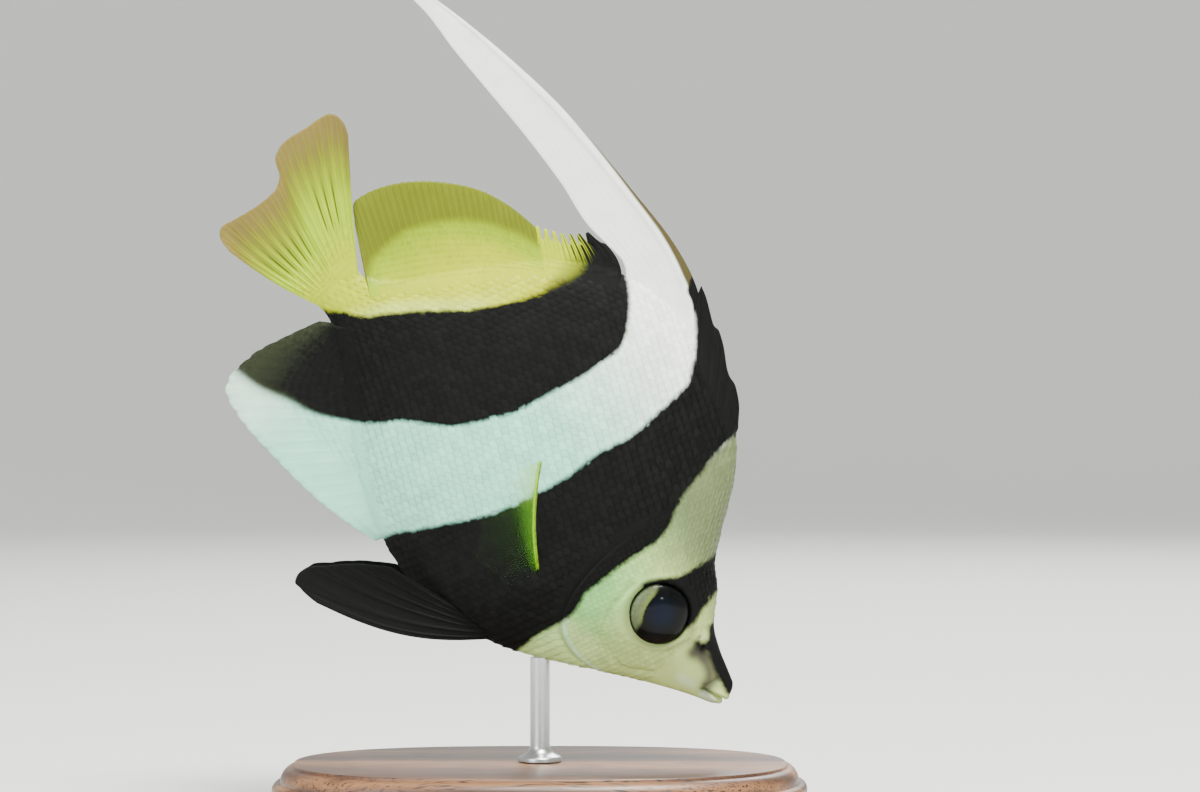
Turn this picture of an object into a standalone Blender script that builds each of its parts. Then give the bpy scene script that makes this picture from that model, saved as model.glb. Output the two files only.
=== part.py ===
"""A pennant coralfish, life size, swimming head down on a display stand.

The fish is drawn in its own axes, in millimetres: s runs from the snout tip to the tail,
d is height towards the back, and y is the fish's left. One skin formula gives the whole body,
and every fin, eye and rod is placed from it. An empty turns the finished fish head down.
"""

import math

import bmesh
import bpy
import numpy as np
from mathutils import Vector

MM = 0.001
GAP = 0.3
SHARP_FROM = math.radians(38)

# The pose and the stand
PITCH = math.radians(46.5)
SNOUT_X = 44.9
SNOUT_Z = 27.1
BASE_HALF_LENGTH = 64.0
BASE_HALF_WIDTH = 42.0
BASE_HEIGHT = 12.0
BASE_ROUNDNESS = 2.5
BASE_SIDES = 48
ROD_RADIUS = 2.4
ROD_SIDES = 20
ROD_RISE = 40.0

# The body's profiles, as (distance from the snout tip, value) pairs
BACK_LINE = [(0, 3.3), (5, 5.3), (10, 7.3), (15.5, 10.6), (20.5, 16.6), (26, 21.0), (30, 27.0),
             (36.5, 37.2), (43.5, 44.7), (53, 50.2), (64, 53.8), (76, 55.2), (86, 54.0), (94, 50.6),
             (101, 45.6), (108, 38.6), (115, 29.6), (121, 20.6), (127, 12.0), (132, 7.4), (137, 6.0)]
BELLY_LINE = [(0, -2.8), (7, -6.1), (15, -10.7), (23, -15.7), (31, -21.3), (39, -26.6), (48, -31.4),
              (58, -34.6), (68, -35.9), (78, -35.2), (87, -32.8), (97, -28.6), (107, -22.6), (116, -16.0),
              (124, -10.2), (131, -7.0), (137, -6.0)]
WIDEST_LEVEL = [(0, 0.2), (12, 0.8), (26, 2.0), (45, 0.5), (70, 1.0), (100, 2.0), (137, 0.0)]
HALF_WIDTH = [(0, 2.0), (5, 3.1), (12, 4.9), (20, 7.2), (30, 9.9), (42, 12.2), (56, 13.4), (72, 13.2),
              (88, 11.4), (104, 8.4), (118, 5.4), (128, 3.4), (137, 1.7)]
RIDGE_SHARPNESS = [(0, 1.0), (22, 1.0), (45, 1.35), (60, 1.55), (112, 1.6), (126, 1.3), (137, 1.0)]
KEEL_SHARPNESS = [(0, 1.0), (42, 1.0), (62, 1.15), (84, 1.5), (112, 1.5), (126, 1.2), (137, 1.0)]
NOSE_LENGTH = 2.2
BODY_LENGTH = 137.0
STALK_START = 117.0

# The rear edge of the gill cover, which parts the head from the torso, by angle down from the back
GILL_EDGE = [(0, 39.0), (40, 41.5), (66, 43.6), (88, 45.4), (108, 44.2), (126, 40.6), (145, 33.5),
             (163, 27.5), (180, 25.5)]
GILL_LIFT = 0.45
GILL_LIFT_FROM = 0.88
RING_SIDES = 40
HEAD_STATIONS = [0.006, 0.02, 0.045, 0.08, 0.13, 0.19, 0.26, 0.34, 0.43, 0.52, 0.61, 0.7, 0.79, 0.88, 0.95,
                 0.985, 1.0]
TORSO_RINGS = 16
STALK_RINGS = 7
FIRST_CUTTER_STATIONS = [0.25, 1.0, 2.2, 4.0, 7.0, 11.0]
CUTTER_START = 15.0
CUTTER_STEP = 3.5

# The eye, its rim, the nostrils, the mouth and the fold that runs from the cheek to the jaw
EYE_AT = (26.3, 2.8)
EYE_RADIUS = 7.9
EYE_DEPTH = 4.3
EYE_SINK = 3.0
EYE_FORWARD = math.radians(14)
EYE_UP = math.radians(5)
EYE_SQUARENESS = 2.9
EYE_SIDES = 24
EYE_RINGS = 6
RIM_RADIUS = 0.75
RIM_OUT = 0.35
RIM_SINK = 0.15
RIM_STEPS = 30
RIM_SIDES = 6
NOSTRILS = [(15.6, 5.6), (13.4, 4.7)]
NOSTRIL_RADIUS = 0.5
NOSTRIL_DEPTH = 0.9
NOSTRIL_FLARE = (0.6, 1.3)
NOSTRIL_SIDES = 8
MOUTH_LINE = [(-3.0, -0.4), (0.3, -0.8), (2.3, -1.4), (5.4, -2.3), (7.4, -3.7)]
MOUTH_GAPE = (0.55, 0.12)
MOUTH_HALF_WIDTH = 8.0
LIP_RADIUS = 0.8
LIP_RISE = 0.95
LIP_START = 0.55
LIP_REACH = 5.2
LIP_ROUNDNESS = 1.6
LIP_FULLNESS = 0.55
LIP_STEPS = 13
LIP_SIDES = 7
CHEEK_FOLD = [(36.0, 3.0), (35.2, -5.0), (31.0, -11.5), (24.0, -12.8), (17.5, -8.6)]
FOLD_RADIUS = 0.45
FOLD_END = 0.25
FOLD_STEPS = 15
FOLD_SIDES = 6

# Fins: half the thickness of the membrane and of a ray, at the root and at the edge
MEMBRANE = (0.30, 0.25)
RAY = (0.62, 0.32)
OUTER_RAY_SHARE = 0.6
FIRST_RAY_WIDTH = 0.06
MIDDLE_FIN_SWELL = 1.1
ROOT_GAP = 0.4

# The streamer: its rings, its spine and ridges as shares, and half its thickness
STREAMER_ROWS = 28
STREAMER_ROW_CROWDING = 0.9
STREAMER_LEAN = 2.5
STREAMER_RIDGES = [0.9, 1.0, 0.3, 0.1, 0.35, 0.1, 0.3, 0.0]
STREAMER_EDGE = 0.27
STREAMER_THICK = 0.05
STREAMER_SPINE = 0.5
STREAMER_TAPER = 0.8

# The base's section: bevelled foot, bead and cove, as (inset, height), and the rod's, as (radius, height)
FOOT_SECTION = [(0.8, 0.0), (0.0, 0.8), (0.0, 6.4), (0.5, 7.2), (1.9, 7.6)]
COVE_AT = (1.9, 7.6)
COVE_SIZE = (2.6, 3.6)
COVE_TURNS = [30, 60, 90]
TOP_INSET = 5.0
ROD_SECTION = [(5.2, 0.0), (5.2, 0.9), (4.6, 1.7), (3.4, 2.3), (ROD_RADIUS, 3.4), (ROD_RADIUS, ROD_RISE)]


def through(pairs):
    """A smooth curve y(x) through the pairs, with no overshoot between them (monotone cubic)."""
    xs, ys = (np.array(column, float) for column in zip(*pairs))
    steps = np.diff(xs)
    slopes = np.diff(ys) / steps
    tangents = np.concatenate([[slopes[0]], (slopes[1:] + slopes[:-1]) / 2, [slopes[-1]]])
    turning = np.concatenate([[False], slopes[1:] * slopes[:-1] <= 0, [False]])
    tangents[turning] = 0
    for i, slope in enumerate(slopes):
        if slope == 0:
            tangents[i] = tangents[i + 1] = 0
            continue
        size = math.hypot(tangents[i] / slope, tangents[i + 1] / slope)
        if size > 3:
            tangents[i] *= 3 / size
            tangents[i + 1] *= 3 / size

    def curve(x):
        x = np.clip(np.asarray(x, float), xs[0], xs[-1])
        i = np.clip(np.searchsorted(xs, x, side="right") - 1, 0, len(steps) - 1)
        t = (x - xs[i]) / steps[i]
        return (ys[i] * (1 + 2 * t) * (1 - t) ** 2 + tangents[i] * steps[i] * t * (1 - t) ** 2
                + ys[i + 1] * t * t * (3 - 2 * t) + tangents[i + 1] * steps[i] * t * t * (t - 1))

    return curve


def along(points):
    """A smooth curve in space through the points, for a share from 0 to 1 of its length."""
    points = np.array(points, float)
    lengths = np.concatenate([[0], np.cumsum(np.linalg.norm(np.diff(points, axis=0), axis=1))])
    axes = [through(list(zip(lengths / lengths[-1], column))) for column in points.T]

    def curve(share):
        return np.stack([axis(share) for axis in axes], axis=-1)

    return curve


back, belly, level = through(BACK_LINE), through(BELLY_LINE), through(WIDEST_LEVEL)
half_width, gill_edge, mouth_line = through(HALF_WIDTH), through(GILL_EDGE), through(MOUTH_LINE)
ridge_sharpness, keel_sharpness = through(RIDGE_SHARPNESS), through(KEEL_SHARPNESS)


def skin(s, angle, grow=0.0):
    """Points (s, d, y) of the skin, at an angle down from the back: a superellipse between the profiles."""
    s, angle = np.broadcast_arrays(np.asarray(s, float), np.asarray(angle, float))
    blunt = np.sqrt(np.clip(1 - (1 - np.clip(s, 0, NOSE_LENGTH) / NOSE_LENGTH) ** 2, 0, 1))
    across, down = np.sin(angle), np.cos(angle)
    middle = level(s)
    height = np.where(down >= 0, back(s) - middle, middle - belly(s))
    power = np.where(down >= 0, ridge_sharpness(s), keel_sharpness(s))
    y = (half_width(s) * blunt + grow) * np.sign(across) * np.abs(across) ** power
    d = middle + (height * blunt + grow) * down
    return np.stack([s, d, y], axis=-1)


def skin_side(s, d):
    """How far out the flank lies at (s, d)."""
    middle = level(s)
    height = (back(s) - middle) if d >= middle else (middle - belly(s))
    power = ridge_sharpness(s) if d >= middle else keel_sharpness(s)
    return float(half_width(s) * (1 - ((d - middle) / height) ** 2) ** (power / 2))


def fish_to_mesh(points):
    """(s, d, y) in millimetres as the fish's x forward, y left, z up, in metres."""
    points = np.asarray(points, float)
    return np.stack([-points[..., 0], points[..., 2], points[..., 1]], axis=-1) * MM


def material(name, colour, roughness, metallic=0.0):
    """A plain finish in one colour, from 0 to 1 in linear light."""
    made = bpy.data.materials.get(name) or bpy.data.materials.new(name)
    made.use_nodes = True
    shader = made.node_tree.nodes["Principled BSDF"]
    shader.inputs["Base Color"].default_value = (*colour, 1.0)
    shader.inputs["Roughness"].default_value = roughness
    shader.inputs["Metallic"].default_value = metallic
    return made


def mesh_object(name, points, faces, finish=None):
    """An object from points in metres and faces, with its faces turned outwards."""
    mesh = bpy.data.meshes.new(name)
    mesh.from_pydata([tuple(p) for p in points], [], faces)
    work = bmesh.new()
    work.from_mesh(mesh)
    bmesh.ops.recalc_face_normals(work, faces=work.faces)
    work.to_mesh(mesh)
    work.free()
    made = bpy.data.objects.new(name, mesh)
    bpy.context.scene.collection.objects.link(made)
    if finish:
        mesh.materials.append(finish)
    return made


def evaluated_mesh(item):
    """The object's mesh as its modifiers leave it."""
    bpy.context.view_layer.update()
    graph = bpy.context.evaluated_depsgraph_get()
    return bpy.data.meshes.new_from_object(item.evaluated_get(graph), depsgraph=graph)


def keep_largest(item):
    """Leaves only the largest closed surface of the object's mesh."""
    work = bmesh.new()
    work.from_mesh(item.data)
    left, shells = set(work.faces), []
    while left:
        shell, reached = set(), [left.pop()]
        while reached:
            face = reached.pop()
            shell.add(face)
            for edge in face.edges:
                for other in edge.link_faces:
                    if other in left:
                        left.discard(other)
                        reached.append(other)
        shells.append(shell)
    if len(shells) > 1:
        size = [sum(f.calc_area() for f in shell) for shell in shells]
        biggest = shells[size.index(max(size))]
        bmesh.ops.delete(work, geom=[f for s in shells if s is not biggest for f in s], context="FACES")
    work.to_mesh(item.data)
    work.free()


def combine(item, helpers, operation):
    """One applied Boolean of the object with a collection of helpers, which are then removed."""
    group = bpy.data.collections.new("helpers")
    bpy.context.scene.collection.children.link(group)
    for helper in helpers:
        bpy.context.scene.collection.objects.unlink(helper)
        group.objects.link(helper)
    step = item.modifiers.new("combine", "BOOLEAN")
    step.operation = operation
    step.operand_type = "COLLECTION"
    step.collection = group
    step.solver = "EXACT"
    result = evaluated_mesh(item)
    item.modifiers.clear()
    item.data = result
    keep_largest(item)
    for helper in helpers:
        bpy.data.objects.remove(helper)
    bpy.data.collections.remove(group)


def loft(name, rings, finish=None, start_pole=None, end_pole=None):
    """A closed solid through rings of equal length, ended by a fan to each pole or to the ring's middle."""
    rings = [np.asarray(ring, float) for ring in rings]
    sides = len(rings[0])
    points = np.concatenate(rings)
    faces = []
    for r in range(len(rings) - 1):
        for i in range(sides):
            j = (i + 1) % sides
            faces.append((r * sides + i, r * sides + j, (r + 1) * sides + j, (r + 1) * sides + i))
    for ring, pole in ((0, start_pole), (len(rings) - 1, end_pole)):
        middle = rings[ring].mean(0) if pole is None else np.asarray(pole, float)
        points = np.concatenate([points, [middle]])
        faces += [(ring * sides + i, ring * sides + (i + 1) % sides, len(points) - 1) for i in range(sides)]
    return mesh_object(name, fish_to_mesh(points), faces, finish)


def tube(name, path, radii, sides, closed, lying_along=(0.13, 0.21, 0.97)):
    """A round tube along the points of a path, in fish axes; closed joins its ends, else they are capped.

    lying_along is a direction that the path never takes, from which its rings are turned.
    """
    path = np.asarray(path, float)
    count = len(path)
    tangents = (np.roll(path, -1, 0) - np.roll(path, 1, 0)) if closed else np.gradient(path, axis=0)
    tangents /= np.linalg.norm(tangents, axis=1)[:, None]
    side = np.cross(tangents, lying_along)
    side /= np.linalg.norm(side, axis=1)[:, None]
    rise = np.cross(side, tangents)
    turn = np.arange(sides) * 2 * math.pi / sides
    rings = path[:, None] + np.asarray(radii)[:, None, None] * (
        side[:, None] * np.cos(turn)[None, :, None] + rise[:, None] * np.sin(turn)[None, :, None])
    if not closed:
        return loft(name, list(rings))
    faces = []
    for r in range(count):
        n = (r + 1) % count
        faces += [(r * sides + i, r * sides + (i + 1) % sides, n * sides + (i + 1) % sides, n * sides + i)
                  for i in range(sides)]
    return mesh_object(name, fish_to_mesh(rings.reshape(-1, 3)), faces)


def stacked(name, rings, finish):
    """A closed solid through level rings of points in millimetres, with a flat face at each end."""
    sides = len(rings[0])
    faces = []
    for r in range(len(rings) - 1):
        for i in range(sides):
            j = (i + 1) % sides
            low, high = r * sides, (r + 1) * sides
            faces.append((low + i, low + j, high + j, high + i))
    faces.append(tuple(range(sides)))
    faces.append(tuple((len(rings) - 1) * sides + i for i in range(sides)))
    return mesh_object(name, np.concatenate(rings) * MM, faces, finish)


def ring_angles():
    """The angles, down from the back, of the points of a ring round the body."""
    return np.arange(RING_SIDES) * 2 * math.pi / RING_SIDES


def gill_stations(angles):
    """Where the gill cover ends, for each angle round the body."""
    turned = np.degrees(np.where(angles > math.pi, 2 * math.pi - angles, angles))
    return gill_edge(turned)


def grown_body(grow):
    """The whole body a little larger, to cut what meets it with a gap."""
    angles = ring_angles()
    stations = np.concatenate([FIRST_CUTTER_STATIONS, np.arange(CUTTER_START, BODY_LENGTH, CUTTER_STEP),
                               [BODY_LENGTH]])
    rings = [skin(s, angles, grow) for s in stations]
    rings[-1][:, 0] += grow
    return loft("grown_body", rings, start_pole=(-grow, level(0.0), 0))


def eye_frame(side):
    """Where the eye sits on the flank, and its outward, tailward and upward directions."""
    s, d = EYE_AT
    at = np.array([s, d, side * skin_side(s, d)])
    out = np.array([-math.sin(EYE_FORWARD) * math.cos(EYE_UP), math.sin(EYE_UP),
                    side * math.cos(EYE_FORWARD) * math.cos(EYE_UP)])
    tailward = np.cross([0, 1, 0], out) * side
    tailward /= np.linalg.norm(tailward)
    upward = np.cross(out, tailward) * side
    return at, out, tailward, upward / np.linalg.norm(upward)


def eyeball(name, side, grow, finish=None):
    """An eye: a superellipse turned about its outward axis, flat enough to clear the other eye."""
    at, out, tailward, upward = eye_frame(side)
    centre = at - EYE_SINK * out
    turn = np.arange(EYE_SIDES) * 2 * math.pi / EYE_SIDES
    spokes = np.cos(turn)[:, None] * tailward + np.sin(turn)[:, None] * upward
    power = 2 / EYE_SQUARENESS
    made = []
    for tilt in np.linspace(-math.pi / 2, math.pi / 2, 2 * EYE_RINGS + 1)[1:-1]:
        radius = (EYE_RADIUS + grow) * math.cos(tilt) ** power
        rise = (EYE_DEPTH + grow) * math.copysign(abs(math.sin(tilt)) ** power, tilt)
        made.append(centre + rise * out + radius * spokes)
    depth = (EYE_DEPTH + grow) * out
    return loft(name, made, finish, start_pole=centre - depth, end_pole=centre + depth)


def orbit_rim(side):
    """The raised skin that rings the eye, following the cheek."""
    _, _, tailward, upward = eye_frame(side)
    turn = np.arange(RIM_STEPS) * 2 * math.pi / RIM_STEPS
    path = []
    for a in turn:
        flat = (EYE_RADIUS + RIM_OUT) * (math.cos(a) * tailward + math.sin(a) * upward)
        s, d = EYE_AT[0] + flat[0], EYE_AT[1] + flat[1]
        path.append((s, d, side * (skin_side(s, d) - RIM_SINK)))
    return tube("rim", path, [RIM_RADIUS] * RIM_STEPS, RIM_SIDES, closed=True)


def lips():
    """Two soft lips round the tip of the snout, above and below the mouth line."""
    made = []
    share = np.linspace(-1, 1, LIP_STEPS)
    out = np.abs(share)
    reach = LIP_START + LIP_REACH * out ** LIP_ROUNDNESS
    for name, way in (("upper", 1), ("lower", -1)):
        rise = mouth_line(reach) + way * LIP_RISE * (1 - 0.4 * out ** 2)
        wide = np.array([skin_side(r, d) for r, d in zip(reach + 0.4, rise)])
        y = np.sign(share) * out ** LIP_FULLNESS * (wide - 0.25 * LIP_RADIUS)
        radii = LIP_RADIUS * (1 - 0.6 * out ** 2)
        path = np.stack([reach, rise, y], -1)
        made.append(tube(name + "_lip", path, radii, LIP_SIDES, closed=False, lying_along=(0, 1, 0)))
    return made


def mouth_cut():
    """The cut of the mouth: a slot along the mouth line that closes towards the corners."""
    stations = [s for s, _ in MOUTH_LINE]
    rings = []
    for s in stations:
        share = (s - stations[0]) / (stations[-1] - stations[0])
        gape = MOUTH_GAPE[0] + (MOUTH_GAPE[1] - MOUTH_GAPE[0]) * share
        top, bottom = mouth_line(s) + gape, mouth_line(s) - gape
        rings.append([(s, top, -MOUTH_HALF_WIDTH), (s, bottom, -MOUTH_HALF_WIDTH),
                      (s, bottom, MOUTH_HALF_WIDTH), (s, top, MOUTH_HALF_WIDTH)])
    return loft("mouth_cut", rings)


def cheek_fold(side):
    """The cut of the shallow fold from behind the eye down and forward along the jaw."""
    path = along(CHEEK_FOLD)(np.linspace(0, 1, FOLD_STEPS))
    points = [(s, d, side * skin_side(s, d)) for s, d in path]
    radii = FOLD_RADIUS * np.sin(np.linspace(FOLD_END, math.pi - FOLD_END, FOLD_STEPS)) ** 0.5
    return tube("cheek_fold", points, radii, FOLD_SIDES, closed=False)


def nostril_cut(side, s, d):
    """The cut of one nostril, a little funnel that opens outwards."""
    out = skin_side(s, d)
    path = [(s, d, side * (out - NOSTRIL_DEPTH)), (s, d, side * (out + NOSTRIL_DEPTH))]
    radii = [NOSTRIL_RADIUS * flare for flare in NOSTRIL_FLARE]
    return tube("nostril_cut", path, radii, NOSTRIL_SIDES, closed=False)


def build_head(finish):
    """The head up to the gill cover's edge, with lips, eye rims, sockets, nostrils, mouth and cheek folds."""
    angles = ring_angles()
    edge = gill_stations(angles)
    rings = []
    for share in HEAD_STATIONS:
        lift = GILL_LIFT * max(0.0, (share - GILL_LIFT_FROM) / (1 - GILL_LIFT_FROM))
        rings.append(skin(edge * share, angles, lift * np.sin(angles) ** 2))
    throat = skin(edge, angles).mean(0)
    head = loft("head", rings, finish, start_pole=(0, level(0.0), 0), end_pole=throat)
    combine(head, [orbit_rim(1), orbit_rim(-1), *lips()], "UNION")
    cuts = [eyeball("socket", side, GAP) for side in (1, -1)]
    cuts += [nostril_cut(side, s, d) for side in (1, -1) for s, d in NOSTRILS]
    cuts += [cheek_fold(1), cheek_fold(-1), mouth_cut()]
    combine(head, cuts, "DIFFERENCE")
    return head


def build_torso(finish):
    """The body from the gill cover back to the tail stalk."""
    angles = ring_angles()
    edge = gill_stations(angles) + GAP
    shares = np.linspace(0, 1, TORSO_RINGS)
    rings = [skin(edge * (1 - t) + STALK_START * t, angles) for t in shares]
    throat = skin(edge, angles).mean(0)
    return loft("torso", rings, finish, start_pole=throat)


def build_stalk(finish):
    """The narrow stalk that carries the tail fin."""
    angles = ring_angles()
    rings = [skin(s, angles) for s in np.linspace(STALK_START + GAP, BODY_LENGTH, STALK_RINGS)]
    return loft("tail_stalk", rings, finish)


def fin(name, root, edge, rays, rows, finish, notch=0.0, membrane=MEMBRANE, ray=RAY, bow=0.0, sway=None,
        first_ray=0.0, root_swell=0.0):
    """A fin: straight or bowed rays from the root curve to the edge curve, raised on a thin membrane.

    notch draws the membrane's edge in between the rays; bow bends the rays away from the edge's middle;
    sway moves points sideways as a function of (u, v); first_ray thickens the leading ray and root_swell
    the whole root.
    """
    columns = 2 * rays + 1
    u = np.linspace(0, 1, columns)
    v = np.linspace(0, 1, rows)
    is_ray = (np.arange(columns) % 2 == 1).astype(float)
    is_ray[0] = is_ray[-1] = OUTER_RAY_SHARE
    start, end = root(u), edge(u)
    reach = 1 - np.asarray(notch if np.ndim(notch) else np.full(columns, notch)) * (1 - is_ray)
    end = start + (end - start) * reach[:, None]
    spine = end - start
    points = start[None] + v[:, None, None] * spine[None]
    if np.any(bow):
        push = np.stack([-spine[:, 1], spine[:, 0], np.zeros(columns)], -1)
        amount = np.asarray(bow(u) if callable(bow) else np.full(columns, bow))
        points = points + (np.sin(v * math.pi)[:, None] * amount[None])[..., None] * push[None]
    if sway:
        points[..., 2] += sway(u[None], v[:, None])
    across = np.gradient(points, axis=1)
    out = np.cross(np.gradient(points, axis=0), across)
    out /= np.linalg.norm(out, axis=-1)[..., None]
    fade = 1 - v[:, None]
    thick = membrane[1] + (membrane[0] - membrane[1]) * fade
    ridge = ray[1] + (ray[0] - ray[1]) * fade
    half = thick + (ridge - thick) * is_ray[None]
    half = half + first_ray * np.clip(1 - u / FIRST_RAY_WIDTH, 0, 1)[None] * fade
    half = half + root_swell * fade ** 3
    faces = []
    shift = rows * columns

    def at(r, c, face):
        return face * shift + r * columns + c

    for r in range(rows - 1):
        for c in range(columns - 1):
            for face in (0, 1):
                a, b, e, f = at(r, c, face), at(r, c + 1, face), at(r + 1, c + 1, face), at(r + 1, c, face)
                faces += [(a, b, e), (a, e, f)]
    for c in range(columns - 1):
        for r in (0, rows - 1):
            faces.append((at(r, c, 0), at(r, c + 1, 0), at(r, c + 1, 1), at(r, c, 1)))
    for r in range(rows - 1):
        for c in (0, columns - 1):
            faces.append((at(r, c, 0), at(r + 1, c, 0), at(r + 1, c, 1), at(r, c, 1)))
    both = np.concatenate([(points + half[..., None] * out).reshape(-1, 3),
                           (points - half[..., None] * out).reshape(-1, 3)])
    return mesh_object(name, fish_to_mesh(both), faces, finish)


def flat_curve(points):
    """A curve through (s, d) points that lie in the fish's middle plane."""
    return along([(s, d, 0) for s, d in points])


def sided(points, side):
    """A curve through (s, d, y) points of the left side, put on the side that is asked for."""
    return along([(s, d, side * y) for s, d, y in points])


def build_fins(black, white, yellow, clear):
    """Every fin, still uncut at its root."""
    made = [
        fin("dorsal_fin_front", flat_curve([(42.5, 40.5), (50, 44.5), (60.8, 48.4)]),
            flat_curve([(45.6, 47.4), (50.0, 51.3), (55.5, 54.4), (59.0, 55.8), (62.7, 58.1), (68.6, 60.9),
                        (76.4, 63.2)]),
            3, 7, black, notch=0.10, ray=(0.75, 0.4), bow=lambda u: 0.075 * u ** 2),
        fin("dorsal_fin_spines", flat_curve([(90.4, 50.0), (97, 45.5), (104, 38.5)]),
            flat_curve([(103.4, 53.0), (105.2, 51.4), (107.6, 48.8), (111.0, 46.6), (114.6, 44.6)]),
            7, 6, black, notch=0.2, ray=(0.7, 0.35), bow=lambda u: 0.14 * (1 - u) ** 3),
        fin("dorsal_fin_soft",
            flat_curve([(104.6, 37.6), (110, 32.0), (118, 21.5), (125, 11.5), (129.5, 6.0)]),
            flat_curve([(115.4, 44.0), (121.8, 43.6), (129.4, 41.1), (137.4, 35.5), (143.9, 28.3),
                        (147.0, 22.0), (147.4, 18.6), (141.8, 12.9)]),
            20, 6, yellow, notch=0.012, root_swell=MIDDLE_FIN_SWELL),
        fin("caudal_fin",
            flat_curve([(134.4, 5.6), (134.6, 0), (134.4, -5.6)]),
            flat_curve([(160.5, 27.3), (163.8, 28.5), (166.6, 28.0), (168.6, 20.5), (169.6, 15.0),
                        (168.4, 10.9), (164.4, 8.4), (162.8, 4.8), (163.0, 0.5), (164.2, -5.5), (165.2, -9.8),
                        (163.6, -11.8), (159.6, -12.5)]),
            17, 7, yellow, notch=0.01, sway=lambda u, v: -4.0 * v ** 1.8, root_swell=0.35,
            bow=lambda u: -0.01 - 0.025 * u),
        fin("anal_fin",
            flat_curve([(83.5, -30.0), (92, -26.5), (104, -20.0), (116, -11.5), (127, -4.5)]),
            flat_curve([(85.6, -35.2), (94.7, -37.3), (103.4, -38.5), (121.4, -39.0), (131.5, -38.2),
                        (136.8, -36.3), (138.6, -31.5), (138.4, -25.5), (136.2, -17.5), (133.2, -8.6)]),
            19, 6, black, notch=0.012, root_swell=MIDDLE_FIN_SWELL),
    ]
    for side, hand in ((1, "left"), (-1, "right")):
        made.append(fin(
            "pectoral_fin_" + hand,
            sided([(52.4, -11.8, 10.8), (53.2, -15.2, 10.6), (53.6, -18.6, 9.8)], side),
            sided([(72.2, 8.0, 29.0), (73.8, 3.0, 28.6), (73.4, -6.0, 26.6), (70.4, -13.5, 24.0),
                   (65.5, -19.5, 20.5)], side),
            14, 6, clear, notch=0.012, membrane=(0.27, 0.25), ray=(0.5, 0.28), first_ray=0.25,
            root_swell=0.5, bow=lambda u: -0.045 * (1 - u)))
        made.append(fin(
            "pelvic_fin_" + hand,
            sided([(46.5, -27.2, 2.6), (50, -28.6, 3.2), (54.5, -30.0, 3.8)], side),
            sided([(84.6, -54.8, 9.2), (91.0, -55.2, 9.4), (92.6, -52.0, 9.0), (89.2, -46.8, 8.6),
                   (84.8, -41.6, 8.5), (78.4, -36.0, 8.6)], side),
            6, 9, black, notch=0.015, bow=lambda u: -0.085 * (1 - u), first_ray=0.3))
    return made


def pennant_ribbon(finish):
    """The fourth spine's long streamer: a ribbon between a front and a rear edge that sweep to one tip."""
    front = flat_curve([(62.8, 48.0), (67.0, 54.0), (71.8, 58.5), (77.6, 62.0), (88, 65.3), (104.8, 67.4),
                        (118, 68.6), (131, 69.0), (144.9, 68.3), (156.5, 67.1), (169.3, 65.1), (187, 60.9),
                        (205, 55.2)])
    rear = flat_curve([(88.0, 47.0), (90.4, 52.3), (94.5, 54.3), (104.0, 54.0), (117.8, 56.4), (131.1, 57.9),
                       (144.3, 58.8), (158.2, 59.7), (170.5, 61.0), (187, 59.4), (205, 54.6)])
    rows, columns = STREAMER_ROWS, len(STREAMER_RIDGES)
    v = np.linspace(0, 1, rows) ** STREAMER_ROW_CROWDING
    u = np.linspace(0, 1, columns)
    points = front(v)[:, None] * (1 - u)[None, :, None] + rear(v)[:, None] * u[None, :, None]
    points[..., 2] += (STREAMER_LEAN * v ** 2)[:, None]
    taper = (1 - v)[:, None] ** STREAMER_TAPER
    half = STREAMER_EDGE + (STREAMER_THICK + STREAMER_SPINE * np.array(STREAMER_RIDGES)[None]) * taper
    both = [points + half[..., None] * way * np.array([0, 0, 1.0]) for way in (1, -1)]
    shift = rows * columns
    faces = []
    for r in range(rows - 1):
        for c in range(columns - 1):
            for face in (0, 1):
                a = face * shift + r * columns + c
                faces += [(a, a + 1, a + columns + 1), (a, a + columns + 1, a + columns)]
        for c in (0, columns - 1):
            a = r * columns + c
            faces.append((a, a + columns, a + columns + shift, a + shift))
    for c in range(columns - 1):
        for r in (0, rows - 1):
            a = r * columns + c
            faces.append((a, a + 1, a + 1 + shift, a + shift))
    return mesh_object("dorsal_pennant", fish_to_mesh(np.concatenate(both).reshape(-1, 3)), faces, finish)


def build_base(finish):
    """The stand's base: a rounded oval block with a bevelled foot and a cove up to its top."""
    turn = np.arange(BASE_SIDES) * 2 * math.pi / BASE_SIDES
    power = 2 / BASE_ROUNDNESS
    x = np.sign(np.cos(turn)) * np.abs(np.cos(turn)) ** power
    y = np.sign(np.sin(turn)) * np.abs(np.sin(turn)) ** power
    section = list(FOOT_SECTION)
    for a in np.radians(COVE_TURNS):
        inset = COVE_AT[0] + COVE_SIZE[0] * (1 - math.cos(a))
        section.append((inset, COVE_AT[1] + COVE_SIZE[1] * math.sin(a)))
    section.append((TOP_INSET, BASE_HEIGHT))
    rings = []
    for inset, z in section:
        rings.append(np.stack([(BASE_HALF_LENGTH - inset) * x, (BASE_HALF_WIDTH - inset) * y,
                               np.full(BASE_SIDES, z)], -1))
    return stacked("stand_base", rings, finish)


def build_rod(finish):
    """The stand's rod: a round foot on the base and a straight stem, still uncut at its top."""
    turn = np.arange(ROD_SIDES) * 2 * math.pi / ROD_SIDES
    rings = []
    for radius, z in ROD_SECTION:
        rings.append(np.stack([radius * np.cos(turn), radius * np.sin(turn),
                               np.full(ROD_SIDES, z + BASE_HEIGHT + GAP)], -1))
    return stacked("stand_rod", rings, finish)


def cut_by_body(item, body):
    """Cuts the object back to a gap from the body, and keeps its largest piece."""
    step = item.modifiers.new("root", "BOOLEAN")
    step.operation = "DIFFERENCE"
    step.object = body
    step.solver = "EXACT"
    result = evaluated_mesh(item)
    item.modifiers.clear()
    item.data = result
    keep_largest(item)


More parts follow.
